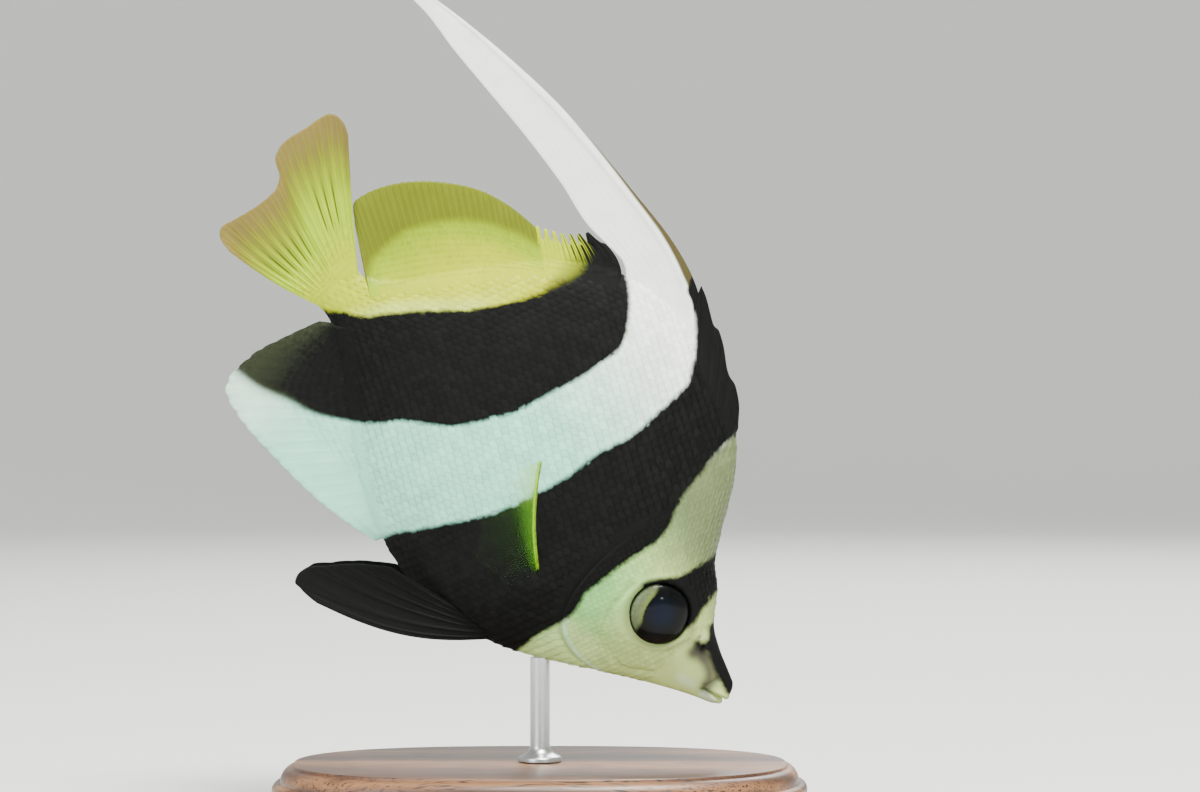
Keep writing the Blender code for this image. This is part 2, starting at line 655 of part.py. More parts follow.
def main():
    """Clears the scene, then builds the fish, turns it head down and puts the stand under it."""
    for item in list(bpy.data.objects):
        bpy.data.objects.remove(item)
    black = material("black_skin", (0.012, 0.011, 0.010), 0.5)
    white = material("white_skin", (0.80, 0.84, 0.80), 0.45)
    yellow = material("yellow_fin", (0.80, 0.74, 0.03), 0.45)
    clear = material("clear_fin", (0.45, 0.62, 0.12), 0.4)
    eye = material("eye", (0.01, 0.01, 0.015), 0.15)
    walnut = material("stand_wood", (0.10, 0.05, 0.025), 0.45)
    steel = material("stand_steel", (0.55, 0.55, 0.56), 0.3, 1.0)

    pose = bpy.data.objects.new("fish_pose", None)
    bpy.context.scene.collection.objects.link(pose)
    pieces = [build_head(white), build_torso(white), build_stalk(yellow)]
    pieces += [eyeball("eye_left", 1, 0.0, eye), eyeball("eye_right", -1, 0.0, eye)]
    fins = build_fins(black, white, yellow, clear)
    fins.append(pennant_ribbon(white))
    body = grown_body(ROOT_GAP)
    for piece in fins:
        cut_by_body(piece, body)
    for piece in [*pieces, *fins, body]:
        piece.parent = pose
    pose.location = Vector((SNOUT_X, 0, SNOUT_Z)) * MM
    pose.rotation_euler = (0, PITCH, 0)
    build_base(walnut)
    cut_by_body(build_rod(steel), body)
    for item in bpy.data.objects:
        if item.type == "MESH":
            item.data.shade_smooth()
            item.data.set_sharp_from_angle(angle=SHARP_FROM)
    body.hide_render = True
    body.display_type = "WIRE"


main()
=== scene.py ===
"""The looks of a life-size pennant coralfish on its display stand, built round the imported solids.

The fish is drawn in millimetres in its own axes: s runs from the snout tip to the tail, d towards the
back and y to the fish's left. One formula gives its flank, and skin, scales, fins and eyes are worked out
from it as whole arrays. The markings are outlines in s and d, and every piece that shows them reads them
from the same functions.
"""
import math

import bpy
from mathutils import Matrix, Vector
import numpy as np


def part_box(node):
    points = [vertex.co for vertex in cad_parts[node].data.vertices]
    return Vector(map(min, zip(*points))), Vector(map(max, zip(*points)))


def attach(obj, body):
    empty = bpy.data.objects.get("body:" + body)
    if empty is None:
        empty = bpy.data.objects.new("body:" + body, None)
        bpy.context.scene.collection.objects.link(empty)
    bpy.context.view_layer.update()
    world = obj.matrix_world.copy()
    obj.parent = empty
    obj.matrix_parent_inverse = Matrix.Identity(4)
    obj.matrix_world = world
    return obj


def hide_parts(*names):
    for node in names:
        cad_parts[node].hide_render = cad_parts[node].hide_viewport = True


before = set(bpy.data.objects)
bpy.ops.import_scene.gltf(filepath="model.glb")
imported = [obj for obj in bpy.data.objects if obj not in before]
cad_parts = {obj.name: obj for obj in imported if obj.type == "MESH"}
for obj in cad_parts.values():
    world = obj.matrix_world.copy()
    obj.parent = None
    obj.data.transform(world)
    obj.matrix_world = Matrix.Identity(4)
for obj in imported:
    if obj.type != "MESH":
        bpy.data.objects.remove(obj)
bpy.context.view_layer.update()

MM = 0.001
SEED = 7
HANDS = (("left", 1), ("right", -1))

# The pose, and the stand
PITCH = math.radians(46.5)
SNOUT_X = 44.9
SNOUT_Z = 27.1
BASE_HALF_LENGTH = 64.0
BASE_HALF_WIDTH = 42.0
BASE_HEIGHT = 12.0
BASE_ROUNDNESS = 2.5
BASE_SIDES = 240
ROD_RADIUS = 2.4

# The camera stands level with the middle of the photo, 0.8 m from the fish's middle plane
CAMERA_AT = (14.4, -800.0, 99.8)
LENS_MM = 100.0
SENSOR_MM = 36.0
LAMP_TARGET = (0.0, 0.0, 0.10)

# The body's profiles, as (distance from the snout tip, value) pairs
BACK_LINE = [
    (0, 3.3), (5, 5.3), (10, 7.3), (15.5, 10.6), (20.5, 16.6), (26, 21), (30, 27), (36.5, 37.2),
    (43.5, 44.7), (53, 50.2), (64, 53.8), (76, 55.2), (86, 54), (94, 50.6), (101, 45.6), (108, 38.6),
    (115, 29.6), (121, 20.6), (127, 12), (132, 7.4), (137, 6)]
BELLY_LINE = [
    (0, -2.8), (7, -6.1), (15, -10.7), (23, -15.7), (31, -21.3), (39, -26.6), (48, -31.4), (58, -34.6),
    (68, -35.9), (78, -35.2), (87, -32.8), (97, -28.6), (107, -22.6), (116, -16), (124, -10.2), (131, -7),
    (137, -6)]
WIDEST_LEVEL = [(0, 0.2), (12, 0.8), (26, 2), (45, 0.5), (70, 1), (100, 2), (137, 0)]
HALF_WIDTH = [
    (0, 2), (5, 3.1), (12, 4.9), (20, 7.2), (30, 9.9), (42, 12.2), (56, 13.4), (72, 13.2), (88, 11.4),
    (104, 8.4), (118, 5.4), (128, 3.4), (137, 1.7)]
RIDGE_SHARPNESS = [(0, 1), (22, 1), (45, 1.35), (60, 1.55), (112, 1.6), (126, 1.3), (137, 1)]
KEEL_SHARPNESS = [(0, 1), (42, 1), (62, 1.15), (84, 1.5), (112, 1.5), (126, 1.2), (137, 1)]
NOSE_LENGTH = 2.2
BODY_LENGTH = 137.0
# The gill cover's edge, as (degrees down from the back, distance from the snout tip) pairs
GILL_EDGE = [
    (0, 39), (40, 41.5), (66, 43.6), (88, 45.4), (108, 44.2), (126, 40.6), (145, 33.5), (163, 27.5),
    (180, 25.5)]
# How far the skin lies inside the smooth body, and how the fins blend into the flank
COAT = 0.25
FILLET = 4.0
FILLET_SLOPE = 0.45
CAUDAL_RAYS = 17

# The head's features
EYE_AT = (26.3, 2.8)
EYE_RADIUS = 7.9
EYE_DEPTH = 4.3
EYE_SINK = 3.0
EYE_FORWARD = math.radians(14)
EYE_UP = math.radians(5)
EYE_SQUARENESS = 2.35
EYE_SIDES = 96
NOSTRILS = [(15.6, 5.6), (13.4, 4.7)]
MOUTH_LINE = [(-3, -0.4), (0.3, -0.8), (2.3, -1.4), (5.4, -2.3), (7.4, -3.7)]
MOUTH_END = 7.0
LIP_FOLD = [(6, -2.6), (5.5, 0.4), (5.1, 2.6)]
CHEEK_FOLD = [(36, 3), (35.2, -5), (31, -11.5), (24, -12.8), (17.5, -8.6)]
LATERAL_LINE = [
    (46.5, 9), (51, 20), (59, 32), (71, 41), (85, 43.5), (97, 39), (107, 28.5), (117, 15), (127, 3.5),
    (136, 0.3)]

# The markings' outlines in (s, d)
BAND_ONE = [
    (44.2, 60), (44.5, 45.2), (44.9, 40), (43.7, 32.5), (42.9, 25.4), (39.4, 15.8), (39.9, 9.9), (41, 4.7),
    (41.6, -1.2), (42.1, -7), (40.6, -11.5), (40.9, -15.2), (42.4, -20.6), (43, -27), (43.5, -40),
    (60, -60), (86, -42), (85.2, -34.3), (83.5, -29.7), (80.3, -25.1), (77.5, -20.2), (73, -13.1),
    (69.7, -6.3), (67.5, 0.7), (65.4, 8.6), (64.3, 17.8), (61.6, 28), (61.4, 34.2), (61.4, 41.3),
    (61.9, 45.6), (64.3, 49.9), (70.2, 56.1), (74.4, 59.2), (78.6, 61.2), (80, 72)]
BAND_TWO = [
    (94.2, 54.6), (90.2, 52.5), (84.8, 48.4), (80.9, 43.7), (78.5, 38.9), (79.3, 32.1), (81, 24.2),
    (83.1, 16.7), (84.3, 11.5), (87.2, 6.3), (90.2, 0.9), (92.7, -2.7), (96, -5.6), (101.7, -10.4),
    (107, -16.8), (112.1, -20.7), (117.9, -24.7), (125.1, -27.3), (131, -29.9), (137.5, -31.1), (150, -33),
    (150, -12), (133.8, -5.5), (130.8, -3), (126.7, -0.2), (123.7, 3.8), (117.5, 11.4), (110.9, 18.6),
    (106.5, 24.7), (103.6, 29.9), (101.6, 33.8), (101.2, 39), (100, 45.3), (99, 51), (98.5, 60), (95, 62)]
EYE_BAND = [
    (19, 7.5), (20, 11.7), (20.5, 16.4), (19, 22), (26.9, 26), (27.5, 20.5), (28.6, 16.3), (29.8, 12.3),
    (32, 9.2), (34.6, 4.8), (26.3, 2.8), (19.5, 3)]
SNOUT_PATCH = [
    (-3, 0.9), (0.5, 0.9), (3.3, 1.4), (7.3, 2.6), (9.9, 3.7), (11.6, 4.2), (13, 3), (15, 3), (15.9, 4),
    (15.3, 5.1), (14.1, 5.3), (14, 6.4), (16.1, 9.4), (15.7, 14), (8, 12), (-3, 8)]
# The middle of the second band, as (d, s) pairs: the fish is yellow behind it
BAND_TWO_MIDDLE = [
    (-40, 150), (-30, 140), (-20, 128), (-10, 118), (0, 110), (10, 102), (20, 96), (30, 92), (40, 91),
    (50, 97), (60, 101)]
# Where the soft dorsal fin's scaly sheath ends
SHEATH_LIMIT = [
    (126, -4), (130.9, 6.1), (134.4, 12), (134.2, 19.5), (131.8, 25.2), (127.8, 31.2), (122.5, 35.9),
    (116.5, 39.2), (110, 41.4), (102, 44.5), (96, 30), (112, 5)]
# Lines of colour on the head: the line, its width in mm, its colour and its strength
HEAD_TINTS = [
    ([(14, 2), (13.2, 3.6), (11.8, 3.4)], 1.7, "#34332A", 0.9),
    ([(13.6, 2.6), (11.5, 2.6), (8, 1.6), (6, -0.6)], 1.7, "#45423A", 0.9),
    ([(10.4, 4.2), (7.6, 3.2), (5.6, 1.7)], 1.1, "#3E3A2E", 0.8),
    ([(6.4, -1.4), (4.6, -2.4)], 0.9, "#484B3B", 0.85),
    ([(11.5, -4.4), (8.6, -3.6)], 1.2, "#CFE2DC", 0.3),
    ([(5, -3.5), (2.4, -2.7)], 0.9, "#CBDCC8", 0.7),
    ([(14.5, 6.5), (15.3, 6.2)], 0.6, "#CBD8BC", 0.4),
    # painted shade in the groove of the lip's fold
    (LIP_FOLD, 0.7, "#5E6248", 0.8)]
# The width in mm of the third spine's brown membrane on the streamer's front edge, at each s
STRIP_WIDTH = [
    (64, 0.2), (70, 1.2), (74.4, 1.8), (80.8, 2), (87.8, 1.5), (93.7, 1.1), (104, 0.7), (118, 0.35),
    (130, 0)]
PENNANT_FRONT = [
    (62.8, 48), (66.6, 54.4), (71.1, 59.2), (76.9, 62.8), (87.5, 65.9), (104.6, 67.6), (118, 68.6),
    (131, 69), (144.9, 68.3), (156.5, 67.1), (169.3, 65.1), (187, 60.9), (205, 55.2)]


def hex_linear(code):
    """An sRGB hex colour as linear red, green and blue."""
    parts = np.array([int(code[i:i + 2], 16) for i in (1, 3, 5)]) / 255
    return np.where(parts <= 0.04045, parts / 12.92, ((parts + 0.055) / 1.055) ** 2.4)


def ramp(x, low, high):
    """0 below low, 1 above high, and a smooth step 3t^2 - 2t^3 between."""
    t = np.clip((np.asarray(x, float) - low) / (high - low), 0, 1)
    return t * t * (3 - 2 * t)


def bell(x, width):
    """exp(-(x / width)^2)."""
    return np.exp(-(np.asarray(x, float) / width) ** 2)


def through(pairs):
    """A smooth curve y(x) through the pairs, with no overshoot between them (monotone cubic)."""
    xs, ys = (np.array(column, float) for column in zip(*pairs))
    steps = np.diff(xs)
    slopes = np.diff(ys) / steps
    tangents = np.concatenate([[slopes[0]], (slopes[1:] + slopes[:-1]) / 2, [slopes[-1]]])
    turning = np.concatenate([[False], slopes[1:] * slopes[:-1] <= 0, [False]])
    tangents[turning] = 0
    for i, slope in enumerate(slopes):
        if slope == 0:
            tangents[i] = tangents[i + 1] = 0
            continue
        size = math.hypot(tangents[i] / slope, tangents[i + 1] / slope)
        if size > 3:
            tangents[i] *= 3 / size
            tangents[i + 1] *= 3 / size

    def curve(x):
        x = np.clip(np.asarray(x, float), xs[0], xs[-1])
        i = np.clip(np.searchsorted(xs, x, side="right") - 1, 0, len(steps) - 1)
        t = (x - xs[i]) / steps[i]
        return (ys[i] * (1 + 2 * t) * (1 - t) ** 2 + tangents[i] * steps[i] * t * (1 - t) ** 2
                + ys[i + 1] * t * t * (3 - 2 * t) + tangents[i + 1] * steps[i] * t * t * (t - 1))

    return curve


def along(points):
    """A smooth curve in space through the points, for a share from 0 to 1 of its length."""
    points = np.array(points, float)
    lengths = np.concatenate([[0], np.cumsum(np.linalg.norm(np.diff(points, axis=0), axis=1))])
    axes = [through(list(zip(lengths / lengths[-1], column))) for column in points.T]

    def curve(share):
        return np.stack([axis(share) for axis in axes], axis=-1)

    return curve


def least_distance(s, d, corners):
    """The least distance in mm from (s, d) to the line through the corners."""
    least = np.full(np.shape(s), 1e9)
    for (s0, d0), (s1, d1) in zip(corners[:-1], corners[1:]):
        run, rise = s1 - s0, d1 - d0
        share = np.clip(((s - s0) * run + (d - d0) * rise) / max(run * run + rise * rise, 1e-9), 0, 1)
        least = np.minimum(least, np.hypot(s - s0 - share * run, d - d0 - share * rise))
    return least


def distance_to_line(s, d, points, samples=40):
    """The least distance in mm from (s, d) to the smooth open curve through the points."""
    return least_distance(s, d, along(points)(np.linspace(0, 1, samples + 1)))


def depth_inside(s, d, outline, samples=110):
    """How deep (s, d) lies inside the smooth closed outline in mm, below 0 outside: the least distance to
    its sides, with the sign of the crossing count."""
    corners = along(outline + outline[:1])(np.linspace(0, 1, samples + 1))
    inside = np.zeros(np.shape(s), bool)
    for (s0, d0), (s1, d1) in zip(corners[:-1], corners[1:]):
        if d1 != d0:
            inside ^= ((d0 > d) != (d1 > d)) & (s < s0 + (d - d0) * (s1 - s0) / (d1 - d0))
    least = least_distance(s, d, corners)
    return np.where(inside, least, -least)


def to_world(points):
    """Fish millimetres (s, d, y) to world metres: turned head down by the pitch and set above the stand."""
    s, d, y = np.moveaxis(np.asarray(points, float), -1, 0)
    x = -s * math.cos(PITCH) + d * math.sin(PITCH) + SNOUT_X
    z = s * math.sin(PITCH) + d * math.cos(PITCH) + SNOUT_Z
    return np.stack([x, y, z], axis=-1) * MM


def round_turn(count):
    """Equal angles once round."""
    return np.arange(count) * 2 * math.pi / count


# The flank

back, belly, level = through(BACK_LINE), through(BELLY_LINE), through(WIDEST_LEVEL)
half_width, gill_edge_at = through(HALF_WIDTH), through(GILL_EDGE)
ridge_sharpness, keel_sharpness = through(RIDGE_SHARPNESS), through(KEEL_SHARPNESS)
mouth_line, band_two_middle = through(MOUTH_LINE), through(BAND_TWO_MIDDLE)


def from_back(angle):
    """An angle round the body as degrees down from the back, the same on both flanks."""
    return np.degrees(np.abs((np.asarray(angle, float) + math.pi) % (2 * math.pi) - math.pi))


def gill_edge(angle):
    """The station of the gill cover's edge at an angle round the body."""
    return gill_edge_at(from_back(angle))


def from_eye(s, d):
    """The distance in mm from the eye's middle."""
    return np.hypot(s - EYE_AT[0], d - EYE_AT[1])


def bare_skin(s, angle):
    """The smooth body: y = half width sin(a)^p, d = level + height cos(a), a superellipse at each station."""
    s, angle = np.broadcast_arrays(np.asarray(s, float), np.asarray(angle, float))
    blunt = np.sqrt(np.clip(1 - (1 - np.clip(s, 0, NOSE_LENGTH) / NOSE_LENGTH) ** 2, 0, 1))
    across, down = np.sin(angle), np.cos(angle)
    middle = level(s)
    height = np.where(down >= 0, back(s) - middle, middle - belly(s))
    power = np.where(down >= 0, ridge_sharpness(s), keel_sharpness(s))
    y = half_width(s) * blunt * np.sign(across) * np.abs(across) ** power
    return np.stack([s, middle + height * blunt * down, y], axis=-1)


def slopes(surface, p, q, step_p, step_q):
    """How far surface(p, q) moves from a step before to a step after, in p and in q."""
    return surface(p + step_p, q) - surface(p - step_p, q), surface(p, q + step_q) - surface(p, q - step_q)


def normals_of(surface, p, q, step_p, step_q):
    """Unit normals of surface(p, q), as the cross product of its slopes along q and p."""
    along_p, along_q = slopes(surface, p, q, step_p, step_q)
    out = np.cross(along_q, along_p)
    return out / np.maximum(np.linalg.norm(out, axis=-1), 1e-12)[..., None]


def height_share(s, d):
    """The height over the widest level, as a share of the height of the back (+) or the belly (-) there."""
    middle = level(s)
    return np.clip((d - middle) / np.where(d >= middle, back(s) - middle, middle - belly(s)), -1, 1)


def skin_side(s, d):
    """How far out the flank lies at (s, d): half width (1 - h^2)^(p/2), h the share of the height."""
    power = np.where(d >= level(s), ridge_sharpness(s), keel_sharpness(s))
    return half_width(s) * (1 - height_share(s, d) ** 2) ** (power / 2)


def relief(s, angle, points):
    """The height in mm of the head's features and of the gill cover's edge over the smooth body."""
    d, y = points[..., 1], points[..., 2]
    # The low ring round the eye, and the socket that it sits in
    rim = from_eye(s, d) - EYE_RADIUS
    rise = 0.34 * bell(rim - 0.5, 0.8) + 0.25 * bell(rim - 3.0, 2.2)
    rise -= 3.4 * (1 - ramp(rim, -1.3, -0.3))

    # The gill cover swells up to its free edge, and the body drops behind it
    down = from_back(angle)
    past = s - gill_edge(angle)
    cover = np.where(past < 0, 0.42 * np.exp(np.minimum(past, 0) / 6.0), 0)
    cover -= np.where(past >= 0, 0.40 * np.exp(-np.maximum(past, 0) / 1.3), 0)
    rise += cover * ramp(down, 74, 100) * (1 - ramp(down, 168, 178))

    cheek = distance_to_line(s, d, CHEEK_FOLD)
    rise += 0.18 * bell(cheek - 1.2, 0.9) - 0.22 * bell(cheek, 0.5)
    rise += 0.04 * bell(distance_to_line(s, d, LATERAL_LINE), 0.7)

    # Two lips with the mouth between them, and the fold behind
    above = d - mouth_line(s)
    near_mouth = 1 - ramp(s, MOUTH_END - 2.0, MOUTH_END)
    lips = bell(above - 1.05, 0.62) + bell(above + 1.0, 0.62)
    rise += 0.42 * near_mouth * lips * (1 - ramp(s, 2.0, 5.5))
    rise -= 1.0 * near_mouth * bell(above, 0.28) + 0.3 * bell(distance_to_line(s, d, LIP_FOLD), 0.4)

    for (at_s, at_d), edge in zip(NOSTRILS, (0.10, 0.32)):
        away = np.hypot(s - at_s, d - at_d)
        rise += edge * bell(away - 0.75, 0.28) - 0.75 * bell(away, 0.42)
    # The pad that the pectoral fin grows from
    rise += 0.9 * bell(s - 52.0, 3.2) * bell(d + 15.0, 4.4)
    # On the very ridge and keel only the snout keeps its relief
    return np.where(np.abs(y) > 0.02, rise, rise * (s < 12))


def flank(s, angle, lift=0.0):
    """The dressed body: the smooth skin moved along its normal by the relief and by lift, in mm."""
    s, angle = np.broadcast_arrays(np.asarray(s, float), np.asarray(angle, float))
    s = np.maximum(s, 0.01)
    points = bare_skin(s, angle)
    out = normals_of(bare_skin, s, angle, 0.005, 0.003)
    return points + out * (relief(s, angle, points) + lift)[..., None]


# The markings, with the colours as sRGB hex codes

WHITE_HIGH, WHITE_LOW = "#F8FBF2", "#9AE2C8"
HEAD_PALE, HEAD_GREY_AND_SHADE, GILL_PALE = "#B4C67A", "#5D674B", "#84CE76"
YELLOW_BRIGHT, YELLOW_GREEN, CREAM, OLIVE = "#B2BA00", "#A4C200", "#D2E670", "#6C740C"


def mix(one, other, share):
    """one (1 - share) + other share, for two linear colours or hex codes and an array of shares."""
    one, other = (hex_linear(end) if isinstance(end, str) else end for end in (one, other))
    return one + (other - one) * np.asarray(share)[..., None]


def markings(s, d):
    """The ground colour, the depth inside the black marks in mm, and the softness of their edges in mm."""
    dark = np.maximum(depth_inside(s, d, BAND_ONE), depth_inside(s, d, BAND_TWO))
    rim = from_eye(s, d) - EYE_RADIUS
    head_marks = np.maximum(depth_inside(s, d, EYE_BAND), depth_inside(s, d, SNOUT_PATCH))
    dark = np.where(s < 42, np.maximum(dark, np.maximum(head_marks, -0.7 - rim)), dark)

    white = mix(WHITE_LOW, WHITE_HIGH, ramp(d, 10, 54))
    white = mix(white, "#DDF2DC", 0.7 * ramp(s, 116, 134) * ramp(-d, 10, 24))
    throat = ramp(-d, 11, 15)
    past_gill = s - gill_edge(np.arccos(height_share(s, d)))
    # The head turns grey-olive towards the nape: partly its own colour, partly painted shade where the top of
    # the head curves away from the light
    head = mix(HEAD_PALE, HEAD_GREY_AND_SHADE, 0.85 * ramp(d, 8, 22))
    tints = [(code, share * bell(distance_to_line(s, d, line), wide))
             for line, wide, code, share in HEAD_TINTS]
    for code, share in (
            (GILL_PALE, 0.85 * bell(s - 41, 9.0) * bell(d + 6, 18.0)),
            ("#C6E090", 0.8 * bell(s - 34, 10.0) * throat),
            ("#BCE4D0", 0.5 * throat * bell(past_gill + 0.5, 0.8)),
            # a painted shadow on the body just behind the gill cover's free edge
            ("#74814A", 0.6 * throat * bell(past_gill - 0.7, 0.6)),
            *tints,
            # a dull olive ring of painted shade where the skin dips into the eye's socket
            ("#4C5232", 0.5 * bell(rim - 0.1, 0.9))):
        head = mix(head, code, share)
    yellow = mix(YELLOW_BRIGHT, YELLOW_GREEN, 0.3 * ramp(s, 118, 140))
    beside_black = 0.6 * bell(np.minimum(dark + 0.6, 0), 2.2)
    yellow = mix(yellow, CREAM, beside_black * ramp(s, 103, 112) * (1 - ramp(s, 124, 132)))

    ground = mix(white, head, 1 - ramp(s, 44, 47))
    ground = np.where((s > band_two_middle(d))[..., None], yellow, ground)
    # The edges blur most behind the back's top, at the rear of the belly and by the nostrils
    soft = 0.75 + 2.6 * bell(np.hypot(s - 100.5, d - 42.5), 6.5)
    soft += 2.0 * ramp(s, 112, 132) * ramp(-d, 16, 26)
    soft += 0.5 * bell(np.hypot(s - 13.5, d - 3.0), 3.0)
    return ground, dark, soft


def marked(points):
    """The markings as a mesh's values, with an even tone."""
    ground, dark, soft = markings(points[:, 0], points[:, 1])
    return {"ground": ground, "dark": dark, "soft": soft, "tone": np.full(len(points), 0.5)}


# Meshes

def place(name, data):
    """An object with this data, in the scene."""
    made = bpy.data.objects.new(name, data)
    bpy.context.scene.collection.objects.link(made)
    return made


def add_piece(name, points, face_sets, finish, slot, stands_for=(), attributes=None, uv=None, sharp=None):
    """A closed mesh piece at the origin, from world points and arrays of faces, riding on the one body."""
    mesh = bpy.data.meshes.new(name)
    corners = np.concatenate([faces.ravel() for faces in face_sets]).astype(np.int32)
    counts = np.concatenate([np.full(len(faces), faces.shape[1]) for faces in face_sets])
    mesh.vertices.add(len(points))
    mesh.vertices.foreach_set("co", np.asarray(points, np.float32).ravel())
    mesh.loops.add(len(corners))
    mesh.loops.foreach_set("vertex_index", corners)
    mesh.polygons.add(len(counts))
    mesh.polygons.foreach_set("loop_start", np.concatenate([[0], np.cumsum(counts)[:-1]]).astype(np.int32))
    mesh.update(calc_edges=True)
    mesh.validate()
    mesh.shade_smooth()
    if sharp:
        mesh.set_sharp_from_angle(angle=math.radians(sharp))
    for key, values in (attributes or {}).items():
        values = np.asarray(values, np.float32)
        if values.ndim == 2:
            layer = mesh.attributes.new(key, "FLOAT_COLOR", "POINT")
            layer.data.foreach_set("color", np.pad(values, ((0, 0), (0, 1)), constant_values=1).ravel())
        else:
            mesh.attributes.new(key, "FLOAT", "POINT").data.foreach_set("value", values)
    if uv is not None:
        layer = mesh.uv_layers.new(name="OFBake")
        layer.data.foreach_set("uv", np.asarray(uv, np.float32).ravel())
    made = place(name, mesh)
    mesh.materials.append(finish)
    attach(made, "root")
    if stands_for:
        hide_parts(*stands_for)


def grid_faces(rows, columns, wrap=False):
    """The four-sided faces of a grid of points, row by row; wrap joins the last column to the first."""
    r, c = np.meshgrid(np.arange(rows - 1), np.arange(columns if wrap else columns - 1), indexing="ij")
    n = (c + 1) % columns
    return np.stack([r * columns + c, r * columns + n, (r + 1) * columns + n, (r + 1) * columns + c],
                    axis=-1).reshape(-1, 4)


def fan(ring, pole, reverse=False):
    """The triangles from a closed ring of point numbers to a pole."""
    after = np.roll(ring, -1)
    pair = (after, ring) if reverse else (ring, after)
    return np.stack([*pair, np.full(len(ring), pole)], axis=-1)


def closed_rings(rings, poles):
    """The points and faces of a row of rings, closed by a pole at each end."""
    rows, columns = rings.shape[:2]
    first = np.arange(columns)
    faces = [grid_faces(rows, columns, wrap=True), fan(first, rows * columns, reverse=True),
             fan(first + (rows - 1) * columns, rows * columns + 1)]
    return np.concatenate([rings.reshape(-1, 3), poles]), faces


# Materials

def feed(node, inputs):
    """Gives each input its value, or the socket that feeds it."""
    for key, value in inputs.items():
        if isinstance(value, bpy.types.NodeSocket):
            node.id_data.links.new(value, node.inputs[key])
        else:
            node.inputs[key].default_value = value


def add(tree, kind, inputs=None, **settings):
    """One node with its settings and inputs."""
    made = tree.nodes.new(kind)
    for key, value in settings.items():
        setattr(made, key, value)
    feed(made, inputs or {})
    return made


def new_material(name):
    """A material, its nodes and its surface."""
    made = bpy.data.materials.new(name)
    made.use_nodes = True
    return made, made.node_tree, made.node_tree.nodes["Principled BSDF"]


def four(code):
    """A hex colour as a colour socket takes it."""
    return (*hex_linear(code), 1.0)


def fish_skin(name, see_through=False, pearly=0.0):
    """Wet fish skin: pigment under a thin clear slime, so a satin colour with a sharp faint gloss on top.

    The ground colour and the depth inside the black marks come with the mesh. Noise with a 1.1 mm grain
    frays the marks' edges as the scales do.
    """
    made, tree, shader = new_material(name)
    spot = add(tree, "ShaderNodeTexCoord").outputs["Object"]
    ground = add(tree, "ShaderNodeAttribute", attribute_name="ground").outputs["Color"]
    dark, soft, tone = (add(tree, "ShaderNodeAttribute", attribute_name=key).outputs["Fac"]
                        for key in ("dark", "soft", "tone"))
    blotch, fray, grain = (add(tree, "ShaderNodeTexNoise", {"Vector": spot, "Scale": 1 / (size * MM),
                                                            "Detail": detail}).outputs["Fac"]
                           for size, detail in ((6, 5.0), (1.1, 3.0), (0.35, 2.0)))
    wander = add(tree, "ShaderNodeMath", {0: fray, 1: 0.7, 2: -0.35}, operation="MULTIPLY_ADD").outputs[0]
    depth = add(tree, "ShaderNodeMath", {0: dark, 1: wander}, operation="ADD").outputs[0]
    share = add(tree, "ShaderNodeMath", {0: depth, 1: soft}, operation="DIVIDE").outputs[0]
    black = add(tree, "ShaderNodeMapRange", {"Value": share, "From Min": -1.0, "From Max": 1.0},
                interpolation_type="SMOOTHSTEP").outputs["Result"]
    light = add(tree, "ShaderNodeMapRange", {"Value": blotch, "From Min": 0.3, "From Max": 0.7,
                                             "To Min": 0.93, "To Max": 1.05}).outputs["Result"]
    # The tone is random for each scale, and lower on the scales' free rims, where it is painted shade
    toned = add(tree, "ShaderNodeMapRange", {"Value": tone, "From Min": -0.4,
                                             "To Min": 0.72, "To Max": 1.04}).outputs["Result"]
    both = add(tree, "ShaderNodeMath", {0: light, 1: toned}, operation="MULTIPLY").outputs[0]
    pale = add(tree, "ShaderNodeMix", {0: 1.0, 6: ground, 7: both}, data_type="RGBA",
               blend_type="MULTIPLY").outputs[2]
    ink = add(tree, "ShaderNodeMix", {0: tone, 6: four("#0A0B0A"), 7: four("#121311")},
              data_type="RGBA").outputs[2]
    colour = add(tree, "ShaderNodeMix", {0: black, 6: pale, 7: ink}, data_type="RGBA").outputs[2]
    bump = add(tree, "ShaderNodeBump", {"Height": grain, "Strength": 0.25, "Distance": 0.05 * MM})
    satin, gloss, pearl = (
        add(tree, "ShaderNodeMapRange", {"Value": value, "To Min": low, "To Max": high}).outputs["Result"]
        for value, low, high in ((blotch, 0.34, 0.52), (black, 0.24, 0.15), (black, pearly, 0.2 * pearly)))
    rough = add(tree, "ShaderNodeMath", {0: black, 1: 0.22, 2: satin}, operation="MULTIPLY_ADD").outputs[0]
    feed(shader, {"Base Color": colour, "Roughness": rough, "Normal": bump.outputs[0], "IOR": 1.33,
                  "Specular IOR Level": gloss, "Coat Weight": pearl, "Coat Roughness": 0.25,
                  "Coat IOR": 1.36})
    if see_through:
        clear = add(tree, "ShaderNodeAttribute", attribute_name="clear").outputs["Fac"]
        opaque = add(tree, "ShaderNodeMath", {0: 1.0, 1: clear}, operation="SUBTRACT", use_clamp=True)
        feed(shader, {"Alpha": opaque.outputs[0]})
    return made


